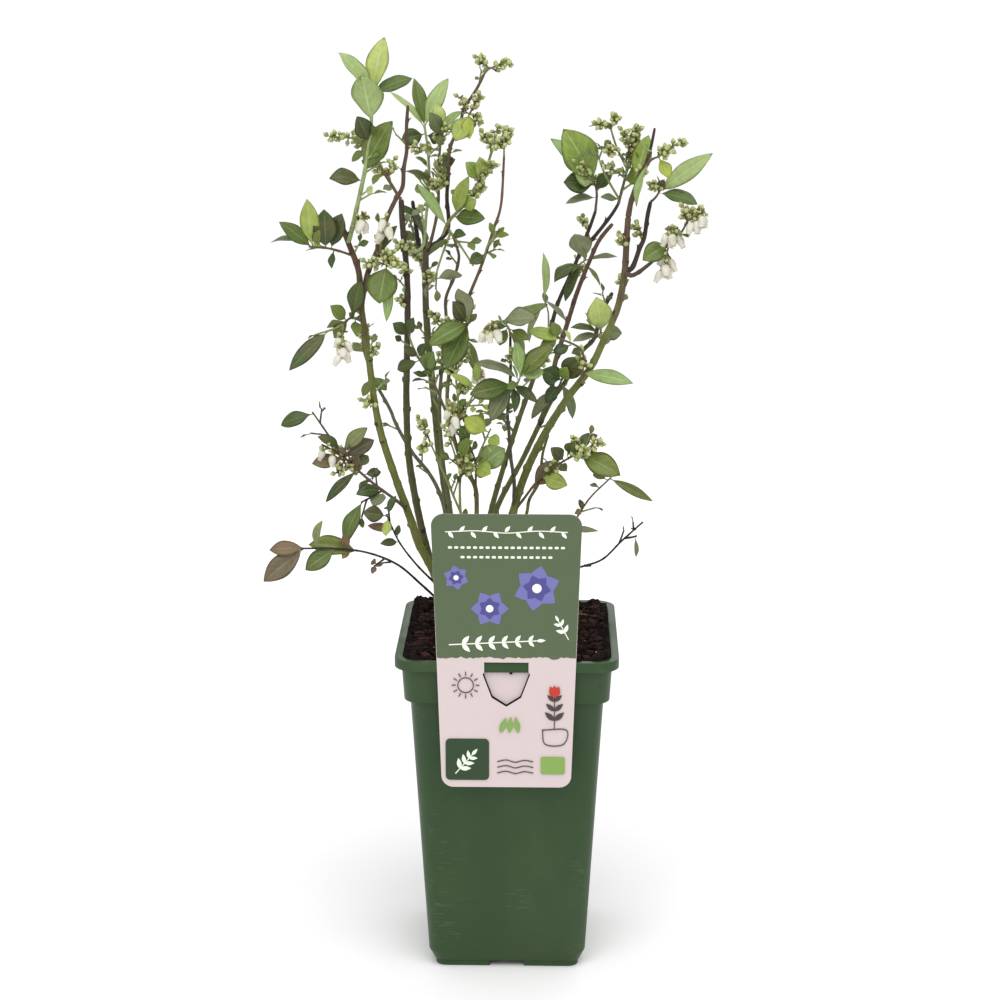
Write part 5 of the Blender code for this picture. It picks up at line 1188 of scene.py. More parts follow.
def plant_pieces():
    """The whole plant: bark on each limb, then shoots, leaves, buds and bells, each kind joined."""
    limbs, trees = grow_limbs()
    kept = grow_masses(limbs, trees)
    solid_leaves = [plan for plan in kept if plan["kind"] == "leaf"]
    kept += finer(kept, solid_leaves, trees.values()) + tufts(limbs, trees, solid_leaves)
    scar = twig_finish("bud_scar", SCAR_COLOUR)
    for number, (name, (points, radii)) in enumerate(limbs.items()):
        start, swell = CANES[name][0], 0.0
        if start:
            points, radii = [along(limbs[start[0]][0], start[1])[0], *points], [radii[0], *radii]
            swell = FORK_SWELL if start[1] < FORK_SHARE else 0.0
        add_piece("bark_" + name, bark_tube(points, radii, swell, number),
                  [bark_finish("bark_" + name, *BARKS[name]), scar], [name])
    twigs = {name: Gather() for name in TWIG_COLOURS}
    leaves = {(tint, shade): Gather() for tint in LEAF_COLOURS for shade in SHADES}
    cups, scales, petals = Gather(), Gather(), {kind: Gather() for kind in BLOOM_SHAPES}
    for number, plan in enumerate(kept):
        dice = random.Random(number + SEEDS["scales"])
        if plan["kind"] == "twig":
            start = []
            if plan["rank"] == 0:
                limb, share = MASSES[plan["spray"]][:2]
                start = [along(limbs[limb][0], share)[0]]
            twigs[stem_kind(plan)].add(*shoot_tube(plan, start))
            if blooms_of(plan, kept):
                for scale in scale_plans(plan["points"], dice):
                    scales.add(*blade(scale))
        elif plan["kind"] == "leaf":
            leaves[plan["tint"], "abc"[int(3 * plan["pick"]) % 3]].add(*blade(plan))
        else:
            cup, bloom = bloom_shapes(plan)
            cups.add(*cup)
            petals[plan["kind"]].add(*bloom)
    for name, shape in twigs.items():
        add_piece("twigs_" + name, shape, [twig_finish("twig_" + name, TWIG_COLOURS[name])],
                  sorted(MASSES) if name == "green" else ())
    for (tint, shade), shape in leaves.items():
        top, under, vein, flush = LEAF_COLOURS[tint]
        top = tuple(part * share for part, share in zip(top, SHADES[shade]))
        name = f"leaves_{tint}_{shade}"
        if shape.faces:
            add_piece(name, shape, [leaf_finish(name + "_top", top, vein, flush, 0.40, 0.38),
                                    leaf_finish(name + "_under", under, vein, flush, 0.62, 0.22)])
    add_piece("bud_cups", cups, [twig_finish("cup_green", (146, 154, 90))])
    add_piece("bud_domes", petals["buds"], [twig_finish("dome_pale", (184, 190, 130))])
    add_piece("bells", petals["bells"], [petal_finish()])
    add_piece("bud_scales", scales, [twig_finish("scale_red", (128, 88, 60))] * 2)


def twig_finish(name, colour):
    """The skin of a shoot, a cup or a scale."""
    finish = Finish(name, colour, 0.5, 0.3)
    finish.patches(scaled(colour, 0.7), 0.35, 420.0)
    finish.patches((118, 84, 58), 0.45, 640.0, 0.60, 0.68)
    return finish.relief(finish.noise(900.0, 0.3, 0.7), 0.12).done()


def petal_finish():
    """White bells, faintly flushed."""
    finish = Finish("bell_white", (212, 208, 198), 0.5, 0.25)
    finish.patches((204, 176, 168), 0.4, 200.0, 0.45, 0.70)
    finish.patches((182, 192, 146), 0.6, 260.0, 0.42, 0.68)
    finish.feed(finish.shader, {"Subsurface Weight": 0.15, "Subsurface Scale": 0.002})
    return finish.done()


# Bark

BARK_STEP = 1.5
BARK_SIDES = 14
BARK_FIT = 0.94  # how wide the bark is drawn beside the plain solid
BARK_END = 1.2  # over which length a limb's cut end is rounded
STREAK = 0.09
STREAK_FINE = (3.1, 0.06)  # how fine the streaks are round a limb and along it
GRAIN = 0.05
GRAIN_FINE = (6, 0.5)
FORK_SWELL = 0.35
FORK_FADE = 5.0
FORK_SHARE = 0.97  # a bough from further up its parent goes on from it with no collar
SCAR_FROM = (8, 16)
SCAR_SPACING = (11, 21)
SCAR_REACH = 6
SCAR_LONG = 1.3
SCAR_RING = 0.10  # how far a joint swells all round, and how much more at its bud
SCAR_BUD = 0.50
SCAR_HIGH = 1.0
SCAR_FACING = 0.86
SCAR_COLOUR = (48, 38, 30)
NUB_FROM = 0.3
NUB_WIDE = 0.28
NUB_LONG = (1.8, 3.6)
NUB_ROWS = ((0.0, 1.0), (0.4, 0.8), (0.8, 0.45), (1.0, 0.12))
# Each limb's bark low down and high up, and the heights in metres between which it turns
BARKS = {
    "cane_left": ((106, 110, 50), (92, 66, 50), 0.43, 0.50),
    "cane_straight": ((84, 84, 48), (64, 54, 42), 0.37, 0.46),
    "cane_tall": ((88, 92, 44), (80, 72, 54), 0.40, 0.47),
    "cane_red": ((108, 106, 62), (102, 76, 58), 0.41, 0.50),
    "cane_back_left": ((102, 102, 80), (96, 92, 70), 0.34, 0.38),
    "cane_thin": ((100, 100, 66), (92, 80, 60), 0.38, 0.46),
    "cane_inner": ((98, 102, 52), (56, 44, 38), 0.40, 0.45),
    "cane_back_right": ((92, 94, 50), (62, 48, 42), 0.37, 0.43),
    "cane_right": ((106, 112, 54), (94, 74, 56), 0.42, 0.50),
    "cane_side": ((104, 108, 58), (98, 98, 58), 0.31, 0.36),
    "bough_left_bare": ((104, 80, 64), (90, 70, 60), 0.48, 0.58),
    "bough_tall_stub": ((42, 36, 32), (36, 30, 28), 0.48, 0.52),
    "bough_tall_bud": ((44, 36, 32), (104, 86, 64), 0.51, 0.56),
    "bough_slender": ((82, 82, 56), (66, 60, 50), 0.36, 0.42),
    "bough_back_right": ((98, 88, 62), (84, 62, 50), 0.40, 0.47),
    "bough_dark_right": ((58, 48, 42), (52, 42, 38), 0.48, 0.52),
    "bough_right_bare": ((90, 70, 54), (66, 50, 44), 0.53, 0.58),
    "bough_right_bloom": ((88, 72, 56), (80, 64, 54), 0.47, 0.50),
    "bough_right_dark": ((64, 52, 44), (56, 46, 42), 0.48, 0.53),
}


def roughness(turn, run, fine, start=0.0):
    """How far the bark stands out at a turn round a limb and a run along it."""
    return noise.noise(Vector((fine[0] * math.cos(turn), fine[0] * math.sin(turn), run * fine[1] + start)))


def bark_tube(points, radii, swell_at_fork, number):
    """A limb with its bark's relief: streaks, scars and nubs at its joints, a collar where it forks."""
    dice = random.Random(number + SEEDS["bark"])
    lengths = np.cumsum([0.0] + [(b - a).length for a, b in zip(points, points[1:])])
    whole = span(points)
    fine = smooth(points, BARK_STEP)
    scars, at = [], dice.uniform(*SCAR_FROM)
    while at < whole - SCAR_REACH:
        scars.append((at, dice.uniform(0, math.tau)))
        at += dice.uniform(*SCAR_SPACING)
    verts, nubs, run = [], [], 0.0
    side = side_of((fine[1] - fine[0]).normalized())
    for i, point in enumerate(fine):
        run += (point - fine[i - 1]).length if i else 0.0
        ahead, side = carried_on(fine, i, side)
        base = BARK_FIT * float(np.interp(run, lengths, radii))
        base *= 1 + swell_at_fork * math.exp(-run / FORK_FADE)
        base *= 1 - 0.3 * max(0.0, 1 - (whole - run) / BARK_END)
        for spot, facing in scars:
            if abs(spot - run) <= 0.5 * BARK_STEP and run > NUB_FROM * whole:
                out = around(ahead, facing, side)
                nubs.append((point + 0.6 * base * out, (out + 0.7 * ahead).normalized(),
                             NUB_WIDE * base + 0.25))
        for k in range(BARK_SIDES):
            turn = math.tau * k / BARK_SIDES
            streak = roughness(turn, run, STREAK_FINE, 7 * number)
            grain = roughness(turn, run, GRAIN_FINE)
            swell = sum(math.exp(-((spot - run) / SCAR_LONG) ** 2)
                        * (SCAR_RING + SCAR_BUD * max(0.0, math.cos(turn - facing)) ** 4)
                        for spot, facing in scars if abs(spot - run) < SCAR_REACH)
            verts.append(point + base * (1 + STREAK * streak + GRAIN * grain + swell)
                         * around(ahead, turn, side))
    kinds = [int(any(abs(spot - (i + 0.3) * BARK_STEP) < SCAR_HIGH and
                     math.cos(math.tau * (k + 0.5) / BARK_SIDES - facing) > SCAR_FACING
                     for spot, facing in scars))
             for i in range(len(fine) - 1) for k in range(BARK_SIDES)]
    shape = Gather()
    shape.add(verts, walls(BARK_SIDES, len(fine)), None, [0, *kinds, 0])
    for place, way, foot in nubs:
        long = dice.uniform(*NUB_LONG)
        shape.add(*turned(place, way, [(run * long, wide * foot) for run, wide in NUB_ROWS], 6))
    return shape


def bark_finish(name, low, high, change_from, change_to):
    """Bark that turns from green or grey below to brown or black above, with long streaks."""
    finish = Finish(name, low, 0.62, 0.3)
    streaks = finish.noise(700.0, 0.42, 0.62, (1.0, 1.0, 0.16))
    height = finish.node("SeparateXYZ", {0: finish.place}).outputs["Z"]
    drift = finish.math("MULTIPLY_ADD", finish.noise(90.0, 0.2, 0.8), 0.05, height)
    up = finish.ramp(drift, change_from + 0.025, change_to + 0.025)
    finish.patches(scaled(low, 0.80), 0.4, 160.0, 0.45, 0.65)
    finish.paint(finish.times(streaks, 0.5), scaled(low, 0.74))
    finish.paint(up, high)
    finish.paint(finish.times(finish.times(up, streaks), 0.6), scaled(high, 0.68))
    finish.patches((134, 124, 98), 0.25, 1500.0, 0.62, 0.70)
    return finish.relief(finish.noise(1300.0, 0.3, 0.7, (1.0, 1.0, 0.3)), 0.35).done()


# The pot

def arc(x, z, radius, start, step, count):
    """Points along a round edge, from a start and by a step in degrees."""
    turns = [math.radians(start + step * k) for k in range(count)]
    return [(x + radius * math.cos(turn), z + radius * math.sin(turn)) for turn in turns]


def rounded_square(half, corner, height):
    """A ring of points round a square with round corners, counter-clockwise from above."""
    ring = []
    for quarter in range(4):
        x = (half - corner) * (1, -1, -1, 1)[quarter]
        y = (half - corner) * (1, 1, -1, -1)[quarter]
        for k in range(CORNER_FACETS + 1):
            turn = math.radians(90 * (quarter + k / CORNER_FACETS))
            ring.append((x + corner * math.cos(turn), y + corner * math.sin(turn), height))
        ahead = math.radians(90 * (quarter + 1))
        for k in range(1, STRAIGHT_FACETS + 1):
            run = 2 * (half - corner) * k / (STRAIGHT_FACETS + 1)
            ring.append((x + corner * math.cos(ahead) - run * math.sin(ahead),
                         y + corner * math.sin(ahead) + run * math.cos(ahead), height))
    return ring


def softened(rows, reach):
    """Rows of a profile with each sharp turn made round, from reach before it to reach after."""
    rows = [Vector(row) for row in rows]
    made = [rows[0]]
    for before, here, after in zip(rows, rows[1:], rows[2:]):
        back, ahead = before - here, after - here
        a = here + back.normalized() * min(reach, 0.45 * back.length)
        b = here + ahead.normalized() * min(reach, 0.45 * ahead.length)
        made += [a, 0.25 * a + 0.5 * here + 0.25 * b, b]
    return [*made, rows[-1]]


def loft(name, rings):
    """A closed shape through rings of equal count, in millimetres."""
    return add_shape(name, [v for ring in rings for v in ring], walls(len(rings[0]), len(rings)))


def add_shape(name, verts, faces):
    """A plain object from points in millimetres."""
    mesh = bpy.data.meshes.new(name)
    mesh.from_pydata([Vector(v) * MM for v in verts], [], faces)
    mesh.update()
    return put(name, mesh)


def cylinder(name, x, y, radius, z0, z1):
    """An upright round bar with its axis at x, y."""
    turns = np.linspace(0, math.tau, ROUND_SIDES, endpoint=False)
    return loft(name, [[(x + radius * math.cos(t), y + radius * math.sin(t), z) for t in turns]
                       for z in (z0, z1)])


def combine(target, others, operation):
    """Joins or cuts a shape with a collection of others, which are then removed."""
    group = bpy.data.collections.new(target.name + "_parts")
    bpy.context.scene.collection.children.link(group)
    for other in others:
        group.objects.link(other)
    change = target.modifiers.new("combine", "BOOLEAN")
    change.operation = operation
    change.operand_type = "COLLECTION"
    change.collection = group
    graph = bpy.context.evaluated_depsgraph_get()
    mesh = bpy.data.meshes.new_from_object(target.evaluated_get(graph))
    target.modifiers.clear()
    target.data = mesh
    for other in list(others):
        bpy.data.objects.remove(other)
    bpy.data.collections.remove(group)


def dress(made, finish, stands_for, sharp=32):
    """Gives a built shape its finish and its place in the frame."""
    made.data.materials.clear()
    made.data.materials.append(finish)
    made.data.shade_smooth()
    made.data.set_sharp_from_angle(angle=math.radians(sharp))
    carried(made, stands_for)


def make_pot():
    """The square pot, its edges softened as moulding leaves them."""
    under, floor = BASE_UNDER, BASE_UNDER + BASE_THICK
    lip_foot = POT_HEIGHT - LIP_DEEP
    step = COLLAR_FOOT + WALL
    profile = softened((
        (BASE_HALF, CORNER - 3, under),
        (BODY_FOOT_HALF, CORNER - 1, BODY_FOOT),
        (BODY_TOP_HALF, CORNER, COLLAR_FOOT - 1.5),
        (COLLAR_FOOT_HALF, CORNER + 1, COLLAR_FOOT),
        (COLLAR_TOP_HALF, CORNER + 1.5, POT_HEIGHT - LIP_THICK),
        (LIP_HALF - LIP_THICK, CORNER + 3, POT_HEIGHT - LIP_THICK),
        (LIP_HALF - LIP_THICK, CORNER + 3, lip_foot),
        (LIP_HALF, CORNER + 4, lip_foot),
        (LIP_HALF, CORNER + 4, POT_HEIGHT),
        (COLLAR_TOP_HALF - WALL, CORNER + 0.3, POT_HEIGHT),
        (COLLAR_FOOT_HALF - WALL, CORNER - 0.2, step),
        (BODY_TOP_HALF - WALL, CORNER - WALL, step - 1.5),
        (BODY_FOOT_HALF - WALL, CORNER - 1 - WALL, BODY_FOOT),
        (BASE_HALF - WALL, CORNER - 3 - WALL, floor),
    ), EDGE_ROUND)
    pot = loft("pot_shell", [rounded_square(*row) for row in profile])
    inner, sunk, half = FOOT_HALF - FOOT_WIDE, under + 0.6, FOOT_SLOT / 2
    foot = loft("foot_ring", [rounded_square(FOOT_HALF - 0.5, CORNER - 4, 0.0),
                              rounded_square(FOOT_HALF, CORNER - 4, 0.6),
                              rounded_square(FOOT_HALF, CORNER - 4, sunk)])
    core = loft("foot_core", [rounded_square(inner, CORNER - 6, -1.0),
                              rounded_square(inner, CORNER - 6, sunk + 1)])
    for cutter in (core, add_shape("slot_x", *block(-80, 80, -half, half, -1, sunk + 1)),
                   add_shape("slot_y", *block(-half, half, -80, 80, -1, sunk + 1))):
        combine(foot, [cutter], "DIFFERENCE")
    combine(pot, [foot, cylinder("pad", 0, 0, PAD_RADIUS, 0.0, sunk)], "UNION")
    spots = [(DRAIN_AT * i, DRAIN_AT * j) for i in (-1, 0, 1) for j in (-1, 0, 1) if i or j]
    holes = [cylinder(f"drain_{i}", x, y, DRAIN_RADIUS, under - 1, floor + 1)
             for i, (x, y) in enumerate(spots)]
    slot = block(-SLOT_HALF, SLOT_HALF, SLOT_FRONT, SLOT_BACK, lip_foot, POT_HEIGHT + 1)
    combine(pot, [*holes, add_shape("slot", *slot)], "DIFFERENCE")
    dress(pot, pot_finish(), ["pot"])


def pot_finish():
    """Dark green moulded plastic, a little dusty, with pale rubs and fine specks of peat."""
    finish = Finish("pot_green", (41, 67, 34), 0.45, 0.28)
    dust = finish.noise(22.0, 0.45, 0.75, (1.0, 1.0, 0.5), 5.0)
    rubs = finish.times(finish.noise(30.0, 0.52, 0.70), finish.noise(420.0, 0.54, 0.66, (0.25, 1.0, 1.6)))
    finish.patches((50, 68, 42), 0.35, 9.0, 0.3, 0.7)
    finish.paint(finish.times(dust, 0.14), (96, 108, 82))
    finish.paint(finish.times(rubs, 0.14), (118, 130, 106))
    finish.patches((130, 132, 108), 0.4, 700.0, 0.72, 0.76)
    finish.patches((40, 44, 32), 0.5, 240.0, 0.72, 0.76)
    finish.feed(finish.shader, {"Roughness": finish.math("MULTIPLY_ADD", dust, 0.60 - 0.38, 0.38)})
    return finish.relief(finish.noise(1600.0, 0.3, 0.7), 0.05, 0.3).done()


# The compost

SOIL_MARGIN = 3.0  # how far in from the edge its crumbs lie
CLOD_MARGIN = 6
CLOD_DRIFT = 9  # how far the clods lie in from their margin
CLOD_SIZE = (2.2, 4.6)
CLOD_SHARE = 0.4  # clods of a paler peat, among those of the crumbs' own
SHRED_MARGIN = 8
SHRED_LONG = (3.5, 12.0)
SHRED_THICK = (0.18, 0.5)
GRAIN_SIZE = (0.35, 0.8)
# Each loose kind: its colour, and whether its faces are drawn round
LITTER = {"clods": ("peat_clod", (66, 40, 33), False), "crumbs": ("peat_crumb", (42, 28, 25), False),
          "shreds": ("peat_shred", (84, 62, 44), True), "straws": ("pale_straw", (158, 136, 92), True),
          "grains": ("pale_grain", (196, 190, 176), False)}
CLOD_ROWS = 4
CLOD_SIDES = 6


def soil_height(x, y):
    """The compost's surface: level where the canes rise, lumpy and higher towards the sides."""
    away = math.hypot(max(CROWN_FLAT[0] - x, 0, x - CROWN_FLAT[1]),
                      max(CROWN_FLAT[2] - y, 0, y - CROWN_FLAT[3]))
    rise = min(1.0, away / SOIL_BANK)
    lumps = 0.55 + 0.25 * math.sin(x * 0.19 + 1.3) + 0.2 * math.cos(y * 0.23 - x * 0.07)
    return SOIL_TOP + SOIL_SWELL * rise * rise * lumps


def fine_soil(x, y):
    """The same surface with its small clods and hollows."""
    spot = Vector((x, y, 0.0))
    coarse = noise.noise(spot * 0.16) + 0.6 * noise.noise(spot * 0.4 + Vector((9, 2, 5)))
    banked = SOIL_BANKED * min(1.0, max(abs(x), abs(y)) / SOIL_EDGE) ** 4
    return soil_height(x, y) + banked + LUMP_HEIGHT * (coarse + 0.45 * noise.noise(spot * 1.1)) - 0.6


def make_soil():
    """The compost: a rough crumbly top on a body that fills the pot."""
    steps = int(2 * SOIL_EDGE / SOIL_CELL)
    bend = CORNER - 1.0
    verts = []
    for i in range(steps + 1):
        for j in range(steps + 1):
            x, y = (-SOIL_EDGE + 2 * SOIL_EDGE * k / steps for k in (i, j))
            over = Vector((max(abs(x) - SOIL_EDGE + bend, 0), max(abs(y) - SOIL_EDGE + bend, 0)))
            if over.length > bend:
                over *= 1 - bend / over.length
                x -= math.copysign(over.x, x)
                y -= math.copysign(over.y, y)
            verts.append(Vector((x, y, fine_soil(x, y))))
    wide = steps + 1
    faces = [(i * wide + j, (i + 1) * wide + j, (i + 1) * wide + j + 1, i * wide + j + 1)
             for i in range(steps) for j in range(steps)]
    upper = ([i * wide for i in range(steps)] + [steps * wide + j for j in range(steps)]
             + [i * wide + steps for i in range(steps, 0, -1)] + list(range(steps, 0, -1)))
    clear = WALL + GAP
    for half, height in ((COLLAR_FOOT_HALF - clear, COLLAR_FOOT + clear),
                         (BODY_TOP_HALF - clear, COLLAR_FOOT),
                         (BODY_FOOT_HALF - clear, BODY_FOOT),
                         (BASE_HALF - clear, BASE_UNDER + BASE_THICK + GAP)):
        lower = range(len(verts), len(verts) + len(upper))
        scale = half / max(abs(verts[upper[0]].x), abs(verts[upper[steps // 2]].y))
        verts += [Vector((verts[k].x * scale, verts[k].y * scale, height)) for k in upper]
        faces += [(lower[k - 1], lower[k], upper[k], upper[k - 1]) for k in range(len(upper))]
        upper = lower
    faces.append(tuple(reversed(upper)))
    body = Gather()
    body.add(verts, faces)
    add_piece("compost_body", body, [soil_finish("peat", (24, 18, 15))], ["compost"])
    loose = {name: Gather() for name in LITTER}
    dice = random.Random(SEEDS["compost"])

    def spot(margin):
        return [dice.uniform(-1, 1) * (SOIL_EDGE - margin) for _ in range(2)]

    for _ in range(CRUMBS):
        x, y = spot(SOIL_MARGIN)
        size = 0.7 + 2.3 * dice.random() ** 3
        loose["crumbs"].add(*clod(Vector((x, y, fine_soil(x, y) + 0.35 * size)), size, dice))
    for _ in range(CLODS):
        run = dice.uniform(-1, 1) * (SOIL_EDGE - CLOD_MARGIN)
        side = SOIL_EDGE - CLOD_MARGIN - abs(dice.gauss(0, CLOD_DRIFT))
        x, y = dice.choice(((side, run), (-side, run), (run, side), (run, 0.9 * side)))
        size = dice.uniform(*CLOD_SIZE)
        low = min(fine_soil(x, y) + 0.25 * size, POT_HEIGHT + 1.5)
        kind = "clods" if dice.random() < CLOD_SHARE else "crumbs"
        loose[kind].add(*clod(Vector((x, y, low)), size, dice))
    for number in range(SHREDS + STRAWS):
        x, y = spot(SHRED_MARGIN)
        if number < SHREDS:
            loose["shreds"].add(*shred(x, y, dice))
        else:
            loose["straws"].add(*shred(30 + 0.45 * abs(x), 34 + 0.35 * abs(y), dice))
    for _ in range(GRAINS):
        x, y = spot(SOIL_MARGIN)
        size = dice.uniform(*GRAIN_SIZE)
        loose["grains"].add(*clod(Vector((x, y, fine_soil(x, y) + size)), size, dice))
    loose["crumbs"].add(*clod(Vector((3.0, TONGUE_BACK - 1.6, 222.5)), 1.7, dice))
    for name, (finish, colour, round_off) in LITTER.items():
        add_piece("compost_" + name, loose[name], [soil_finish(finish, colour)], (), round_off)


def clod(centre, size, dice):
    """One crumb: a ball of few faces, knocked out of round."""
    squash = Vector((dice.uniform(0.7, 1.3), dice.uniform(0.7, 1.3), dice.uniform(0.6, 1.0)))
    verts = []
    for i in range(CLOD_ROWS + 1):
        up = math.pi * i / CLOD_ROWS - math.pi / 2
        for k in range(CLOD_SIDES if 0 < i < CLOD_ROWS else 1):
            turn = math.tau * (k + 0.5 * (i % 2)) / CLOD_SIDES
            way = Vector((math.cos(turn) * math.cos(up), math.sin(turn) * math.cos(up), math.sin(up)))
            verts.append(centre + way * squash * size * dice.uniform(0.75, 1.2))
    return verts, capped(CLOD_SIDES, CLOD_ROWS - 1)


def shred(x, y, dice):
    """One fibre or shred of bark, lying on the compost."""
    turn, long = dice.uniform(0, math.tau), dice.uniform(*SHRED_LONG)
    knots = []
    for k in range(4):
        run = (k / 3 - 0.5) * long
        spot = (x + run * math.cos(turn) + dice.uniform(-0.6, 0.6), y + run * math.sin(turn))
        knots.append((*spot, fine_soil(*spot) + 0.5 + dice.uniform(0, 0.12) * long))
    points = smooth(knots, 1.2)
    thick = dice.uniform(*SHRED_THICK)
    return tube(points, [thick * (1 - 0.6 * abs(2 * i / len(points) - 1)) for i in range(len(points))], 4)


def soil_finish(name, colour):
    """Damp dark peat, rough all over."""
    finish = Finish(name, colour, 0.95, 0.15)
    finish.paint(finish.noise(300.0, 0.45, 0.6), scaled(colour, 0.6))
    finish.patches(scaled(colour, 1.5), 0.6, 800.0, 0.58, 0.68)
    return finish.relief(finish.noise(1400.0, 0.3, 0.7), 0.5).done()


# The label card

def card_half(height):
    """Half the card's width at a height."""
    return float(np.interp(height, (CARD_FOOT, POT_HEIGHT, CARD_TOP),
                           (CARD_FOOT_HALF, CARD_RIM_HALF, CARD_TOP_HALF)))


def prism(outline, front, back):
    """The points and faces of an upright plate between two depths."""
    count = len(outline)
    verts = [Vector((x, front, z)) for x, z in outline] + [Vector((x, back, z)) for x, z in outline]
    faces = [tuple(range(count)), tuple(reversed(range(count, 2 * count)))]
    faces += [((k + 1) % count, k, k + count, (k + 1) % count + count) for k in range(count)]
    return verts, faces


def plate(name, outline, back):
    """A flat upright plate from an outline of x, z points, counter-clockwise from the front."""
    return add_shape(name, *prism(outline, back - CARD_THICK, back))


def card_outline():
    """The card's outline, with round corners."""
    points = []
    for right, top, start in ((1, 0, 270), (1, 1, 0), (0, 1, 90), (0, 0, 180)):
        z = CARD_TOP - CARD_ROUND if top else CARD_FOOT + CARD_ROUND
        x = (card_half(z) - CARD_ROUND) * (1 if right else -1)
        points += arc(x, z, CARD_ROUND, start, 9, 11)
    return points


def tongue_outline(grown):
    """The tongue's outline: a neck, a shield below it and a point."""
    right = [(SHIELD_WAIST_HALF + grown, SHIELD_WAIST - 0.5 * grown),
             (SHIELD_HALF + grown, NECK_FOOT - 1.5), (NECK_HALF + grown, NECK_FOOT),
             (NECK_HALF + grown, TONGUE_HINGE)]
    return [(0.0, SHIELD_POINT - grown), *right, *((-x, z) for x, z in reversed(right))]


def make_card():
    """The card, and the tongue cut from it that goes down behind the pot's lip."""
    card = plate("card_sheet", card_outline(), CARD_BACK)
    window = prism(tongue_outline(0.0), CARD_BACK - CARD_THICK - 1, CARD_BACK + 1)
    combine(card, [add_shape("window", *window)], "DIFFERENCE")
    tongue = plate("tongue", tongue_outline(-TONGUE_CUT), TONGUE_BACK)
    half = NECK_HALF - TONGUE_CUT
    bridge = block(-half, half, CARD_BACK - CARD_THICK, TONGUE_BACK, TONGUE_HINGE - CARD_THICK * 0.4,
                   TONGUE_HINGE + CARD_THICK)
    combine(card, [tongue, add_shape("bridge", *bridge)], "UNION")
    dress(card, card_finish("card_pale", (205, 190, 190)), ["label_card"])
    front = CARD_BACK - CARD_THICK
    for layer, (name, (colour, outlines)) in enumerate(print_layers().items()):
        shape = Gather()
        for number, outline in enumerate(outlines):
            shape.add(*prism(outline, front - INK * (layer + 1) - INK_STEP * number, front + 0.1))
        add_piece("print_" + name, shape, [card_finish("ink_" + name, colour)], (), False)


def card_finish(name, colour):
    """Smooth printed card with a faint mottle."""
    finish = Finish(name, colour, 0.42, 0.3)
    finish.patches(scaled(colour, 0.93), 0.10, 60.0, 0.3, 0.7)
    return finish.done()


def disc(x, z, radius):
    """A round spot of print."""
    return arc(x, z, radius, 0, 360 / 28, 28)


def petal(x, z, turn, long, wide, count=9):
    """A leaf or petal of print from its foot, along a turn in degrees."""
    turn = math.radians(turn)
    edge = []
    for k in range(count + 1):
        run = k / count
        edge.append((run * long, 0.5 * wide * math.sin(math.pi * run ** 0.85)))
    flat = edge + [(run, -out) for run, out in reversed(edge[1:-1])]
    spun = [(x + run * math.cos(turn) - out * math.sin(turn), z + run * math.sin(turn) + out * math.cos(turn))
            for run, out in flat]
    return spun[::-1]


def stroke(knots, wide):
    """A drawn line of even width through x, z knots."""
    path = smooth([(x, z, 0.0) for x, z in knots], 1.0)
    left, right = [], []
    for i, here in enumerate(path):
        ahead = (path[min(i + 1, len(path) - 1)] - path[max(i - 1, 0)]).normalized()
        left.append((here.x - 0.5 * wide * ahead.y, here.y + 0.5 * wide * ahead.x))
        right.append((here.x + 0.5 * wide * ahead.y, here.y - 0.5 * wide * ahead.x))
    return right + left[::-1]


def panel(x, z, half_wide, half_tall, bend):
    """A round-cornered patch of print."""
    return [spot for i, j, start in ((1, -1, 270), (1, 1, 0), (-1, 1, 90), (-1, -1, 180))
            for spot in arc(x + i * (half_wide - bend), z + j * (half_tall - bend), bend, start, 18, 6)]


def ring_line(x, z, radius, wide):
    """A drawn circle, as short strokes end to end."""
    spots = arc(x, z, radius, 0, 12, 31)
    return [stroke([a, b], wide) for a, b in zip(spots, spots[1:])]


def sprig(x, z, turn, long, pairs, leaf_long, wide):
    """A drawn stem with pairs of leaves."""
    way = math.radians(turn)
    made = [stroke([(x, z), (x + long * math.cos(way), z + long * math.sin(way))], wide)]
    for k in range(pairs):
        run = long * (k + 1) / (pairs + 0.6)
        at = (x + run * math.cos(way), z + run * math.sin(way))
        size = leaf_long * (1 - 0.35 * k / pairs)
        made += [petal(*at, turn + 48, size, 0.42 * size), petal(*at, turn - 48, size, 0.42 * size)]
    made.append(petal(x + long * math.cos(way), z + long * math.sin(way), turn, leaf_long * 0.8,
                      leaf_long * 0.3))
    return made


def rosette(x, z, radius, petals, turn):
    """A plain flower seen from the front."""
    return [petal(x, z, turn + 360 * k / petals, radius, 0.78 * radius) for k in range(petals)]


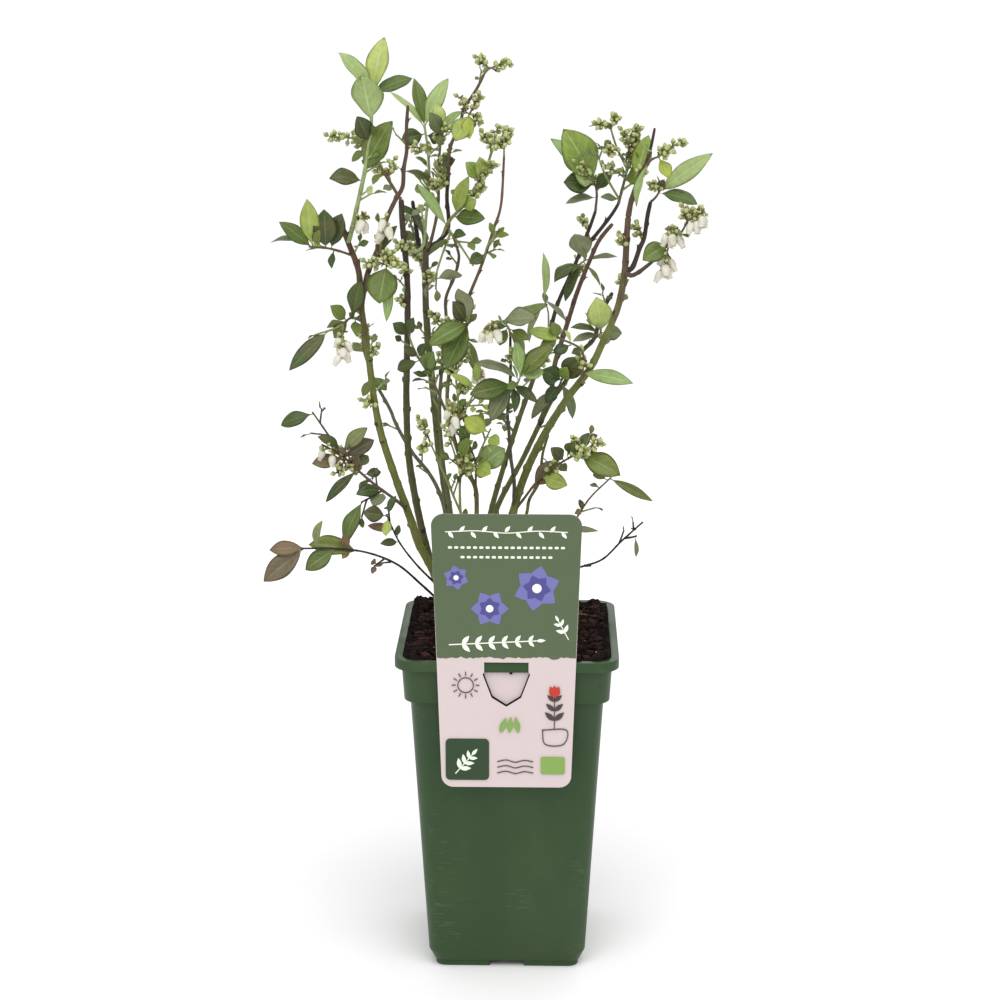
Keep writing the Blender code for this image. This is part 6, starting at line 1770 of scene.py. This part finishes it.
def print_layers():
    """What is printed on the card, layer on layer, in plain motifs of its own."""
    dice = random.Random(SEEDS["print"])
    torn = [(x, CARD_SPLIT + dice.uniform(-0.7, 0.7) + 0.5 * math.sin(0.35 * x))
            for x in np.arange(-44.0, 44.1, 2.0)]
    edge = card_half(CARD_SPLIT)
    ground = [(-edge, CARD_SPLIT), *torn, (edge, CARD_SPLIT)]
    ground += [(x, z) for x, z in card_outline() if z > CARD_SPLIT]
    flowers = ((20, 281, 15.5, 20), (-11, 267, 12.5, 0), (-33, 288, 8.5, 40))
    cream = []
    for k in range(11):
        cream.append(petal(-38 + 7.4 * k, 319, 50 if k % 2 else -50, 5.4, 2.4))
    cream += [stroke([(-40, 319), (-20, 319.8), (0, 318.4), (20, 319.8), (40, 319)], 0.6)]
    for row, count in ((308.5, 19), (302.0, 15)):
        cream += [panel(4.1 * (k - (count - 1) / 2), row, 1.3, 0.75, 0.5) for k in range(count)]
    cream += sprig(-38, 242, 3, 58, 6, 7.5, 0.7) + sprig(41, 246, 118, 14, 2, 6.0, 0.6)
    lines = ring_line(-27, 214, 5.2, 0.55)
    lines += [stroke([(-27 + 6.6 * math.cos(t), 214 + 6.6 * math.sin(t)),
                      (-27 + 9.2 * math.cos(t), 214 + 9.2 * math.sin(t))], 0.55)
              for t in np.linspace(0, math.tau, 12, endpoint=False)]
    lines += [stroke([(-6, z), (0, z + 1.2), (6, z - 0.4), (12, z + 1.0), (18, z)], 0.5)
              for z in (152.5, 156.5, 160.5)]
    lines += sprig(32, 183, 90, 24, 3, 8.5, 0.55)
    lines += [stroke([(24, 183), (26, 173), (38, 173), (40, 183), (24, 183)], 0.6)]
    leafy = [petal(-4 + 6 * k, 181, 70 + 15 * k, 11, 4) for k in range(3)]
    return {
        "sage": ((83, 98, 70), [ground]),
        "petals": ((112, 110, 170), [p for x, z, r, t in flowers for p in rosette(x, z, r, 6, t)]),
        "petal_hearts": ((76, 74, 136), [p for x, z, r, t in flowers
                                         for p in rosette(x, z, 0.6 * r, 6, t + 30)]),
        "cream": ((238, 240, 228), cream + [disc(x, z, 0.2 * r) for x, z, r, _ in flowers]),
        "lines": ((70, 60, 58), lines),
        "panel_green": ((42, 64, 40), [panel(-26, 162, 14.5, 14.5, 3.0)]),
        "panel_sprig": ((226, 236, 214), sprig(-34, 152, 50, 17, 3, 7.5, 0.7)),
        "light_green": ((126, 160, 80), [panel(31, 158, 8.0, 6.0, 1.5), *leafy]),
        "red": ((184, 54, 42), [petal(32, 206, 90 + t, 8, 4.5) for t in (-22, 0, 22)]),
    }


# The studio

def make_studio():
    """A pale floor, a white sky and three soft lights."""
    mesh = bpy.data.meshes.new("floor")
    mesh.from_pydata([(x * FLOOR_HALF, y * FLOOR_HALF, 0.0) for x, y in ((-1, -1), (1, -1), (1, 1), (-1, 1))],
                     [], [(0, 1, 2, 3)])
    mesh.materials.append(Finish("floor_white", (240, 240, 240), 0.9, 0.1).done())
    floor = put("floor", mesh)
    sky = bpy.data.worlds.new("sky")
    sky.use_nodes = True
    ground = sky.node_tree.nodes["Background"].inputs
    ground["Color"].default_value = (1.0, 1.0, 1.0, 1.0)
    ground["Strength"].default_value = SKY
    bpy.context.scene.world = sky
    high = bpy.data.lights.new("high", "SUN")
    high.energy = SUN
    high.angle = math.radians(SUN_SPREAD)
    put("high", high).rotation_euler = [math.radians(turn) for turn in (*SUN_TURN, 0.0)]
    for name, (place, target, size, power) in LIGHTS.items():
        lamp = bpy.data.lights.new(name, "AREA")
        lamp.size = size
        lamp.energy = power
        made = put(name, lamp)
        made.location = place
        made.rotation_euler = (Vector(target) - Vector(place)).to_track_quat("-Z", "Y").to_euler()
    lens = bpy.data.cameras.new("camera")
    lens.lens = LENS
    lens.sensor_width = SENSOR
    camera = put("camera", lens)
    camera.location = CAMERA_AT
    camera.rotation_euler = (math.pi / 2 - CAMERA_DOWN, 0.0, CAMERA_ROLL)
    bpy.context.scene.camera = camera
    bpy.context.scene.view_settings.view_transform = "Standard"


make_studio()
make_pot()
make_soil()
make_card()
plant_pieces()
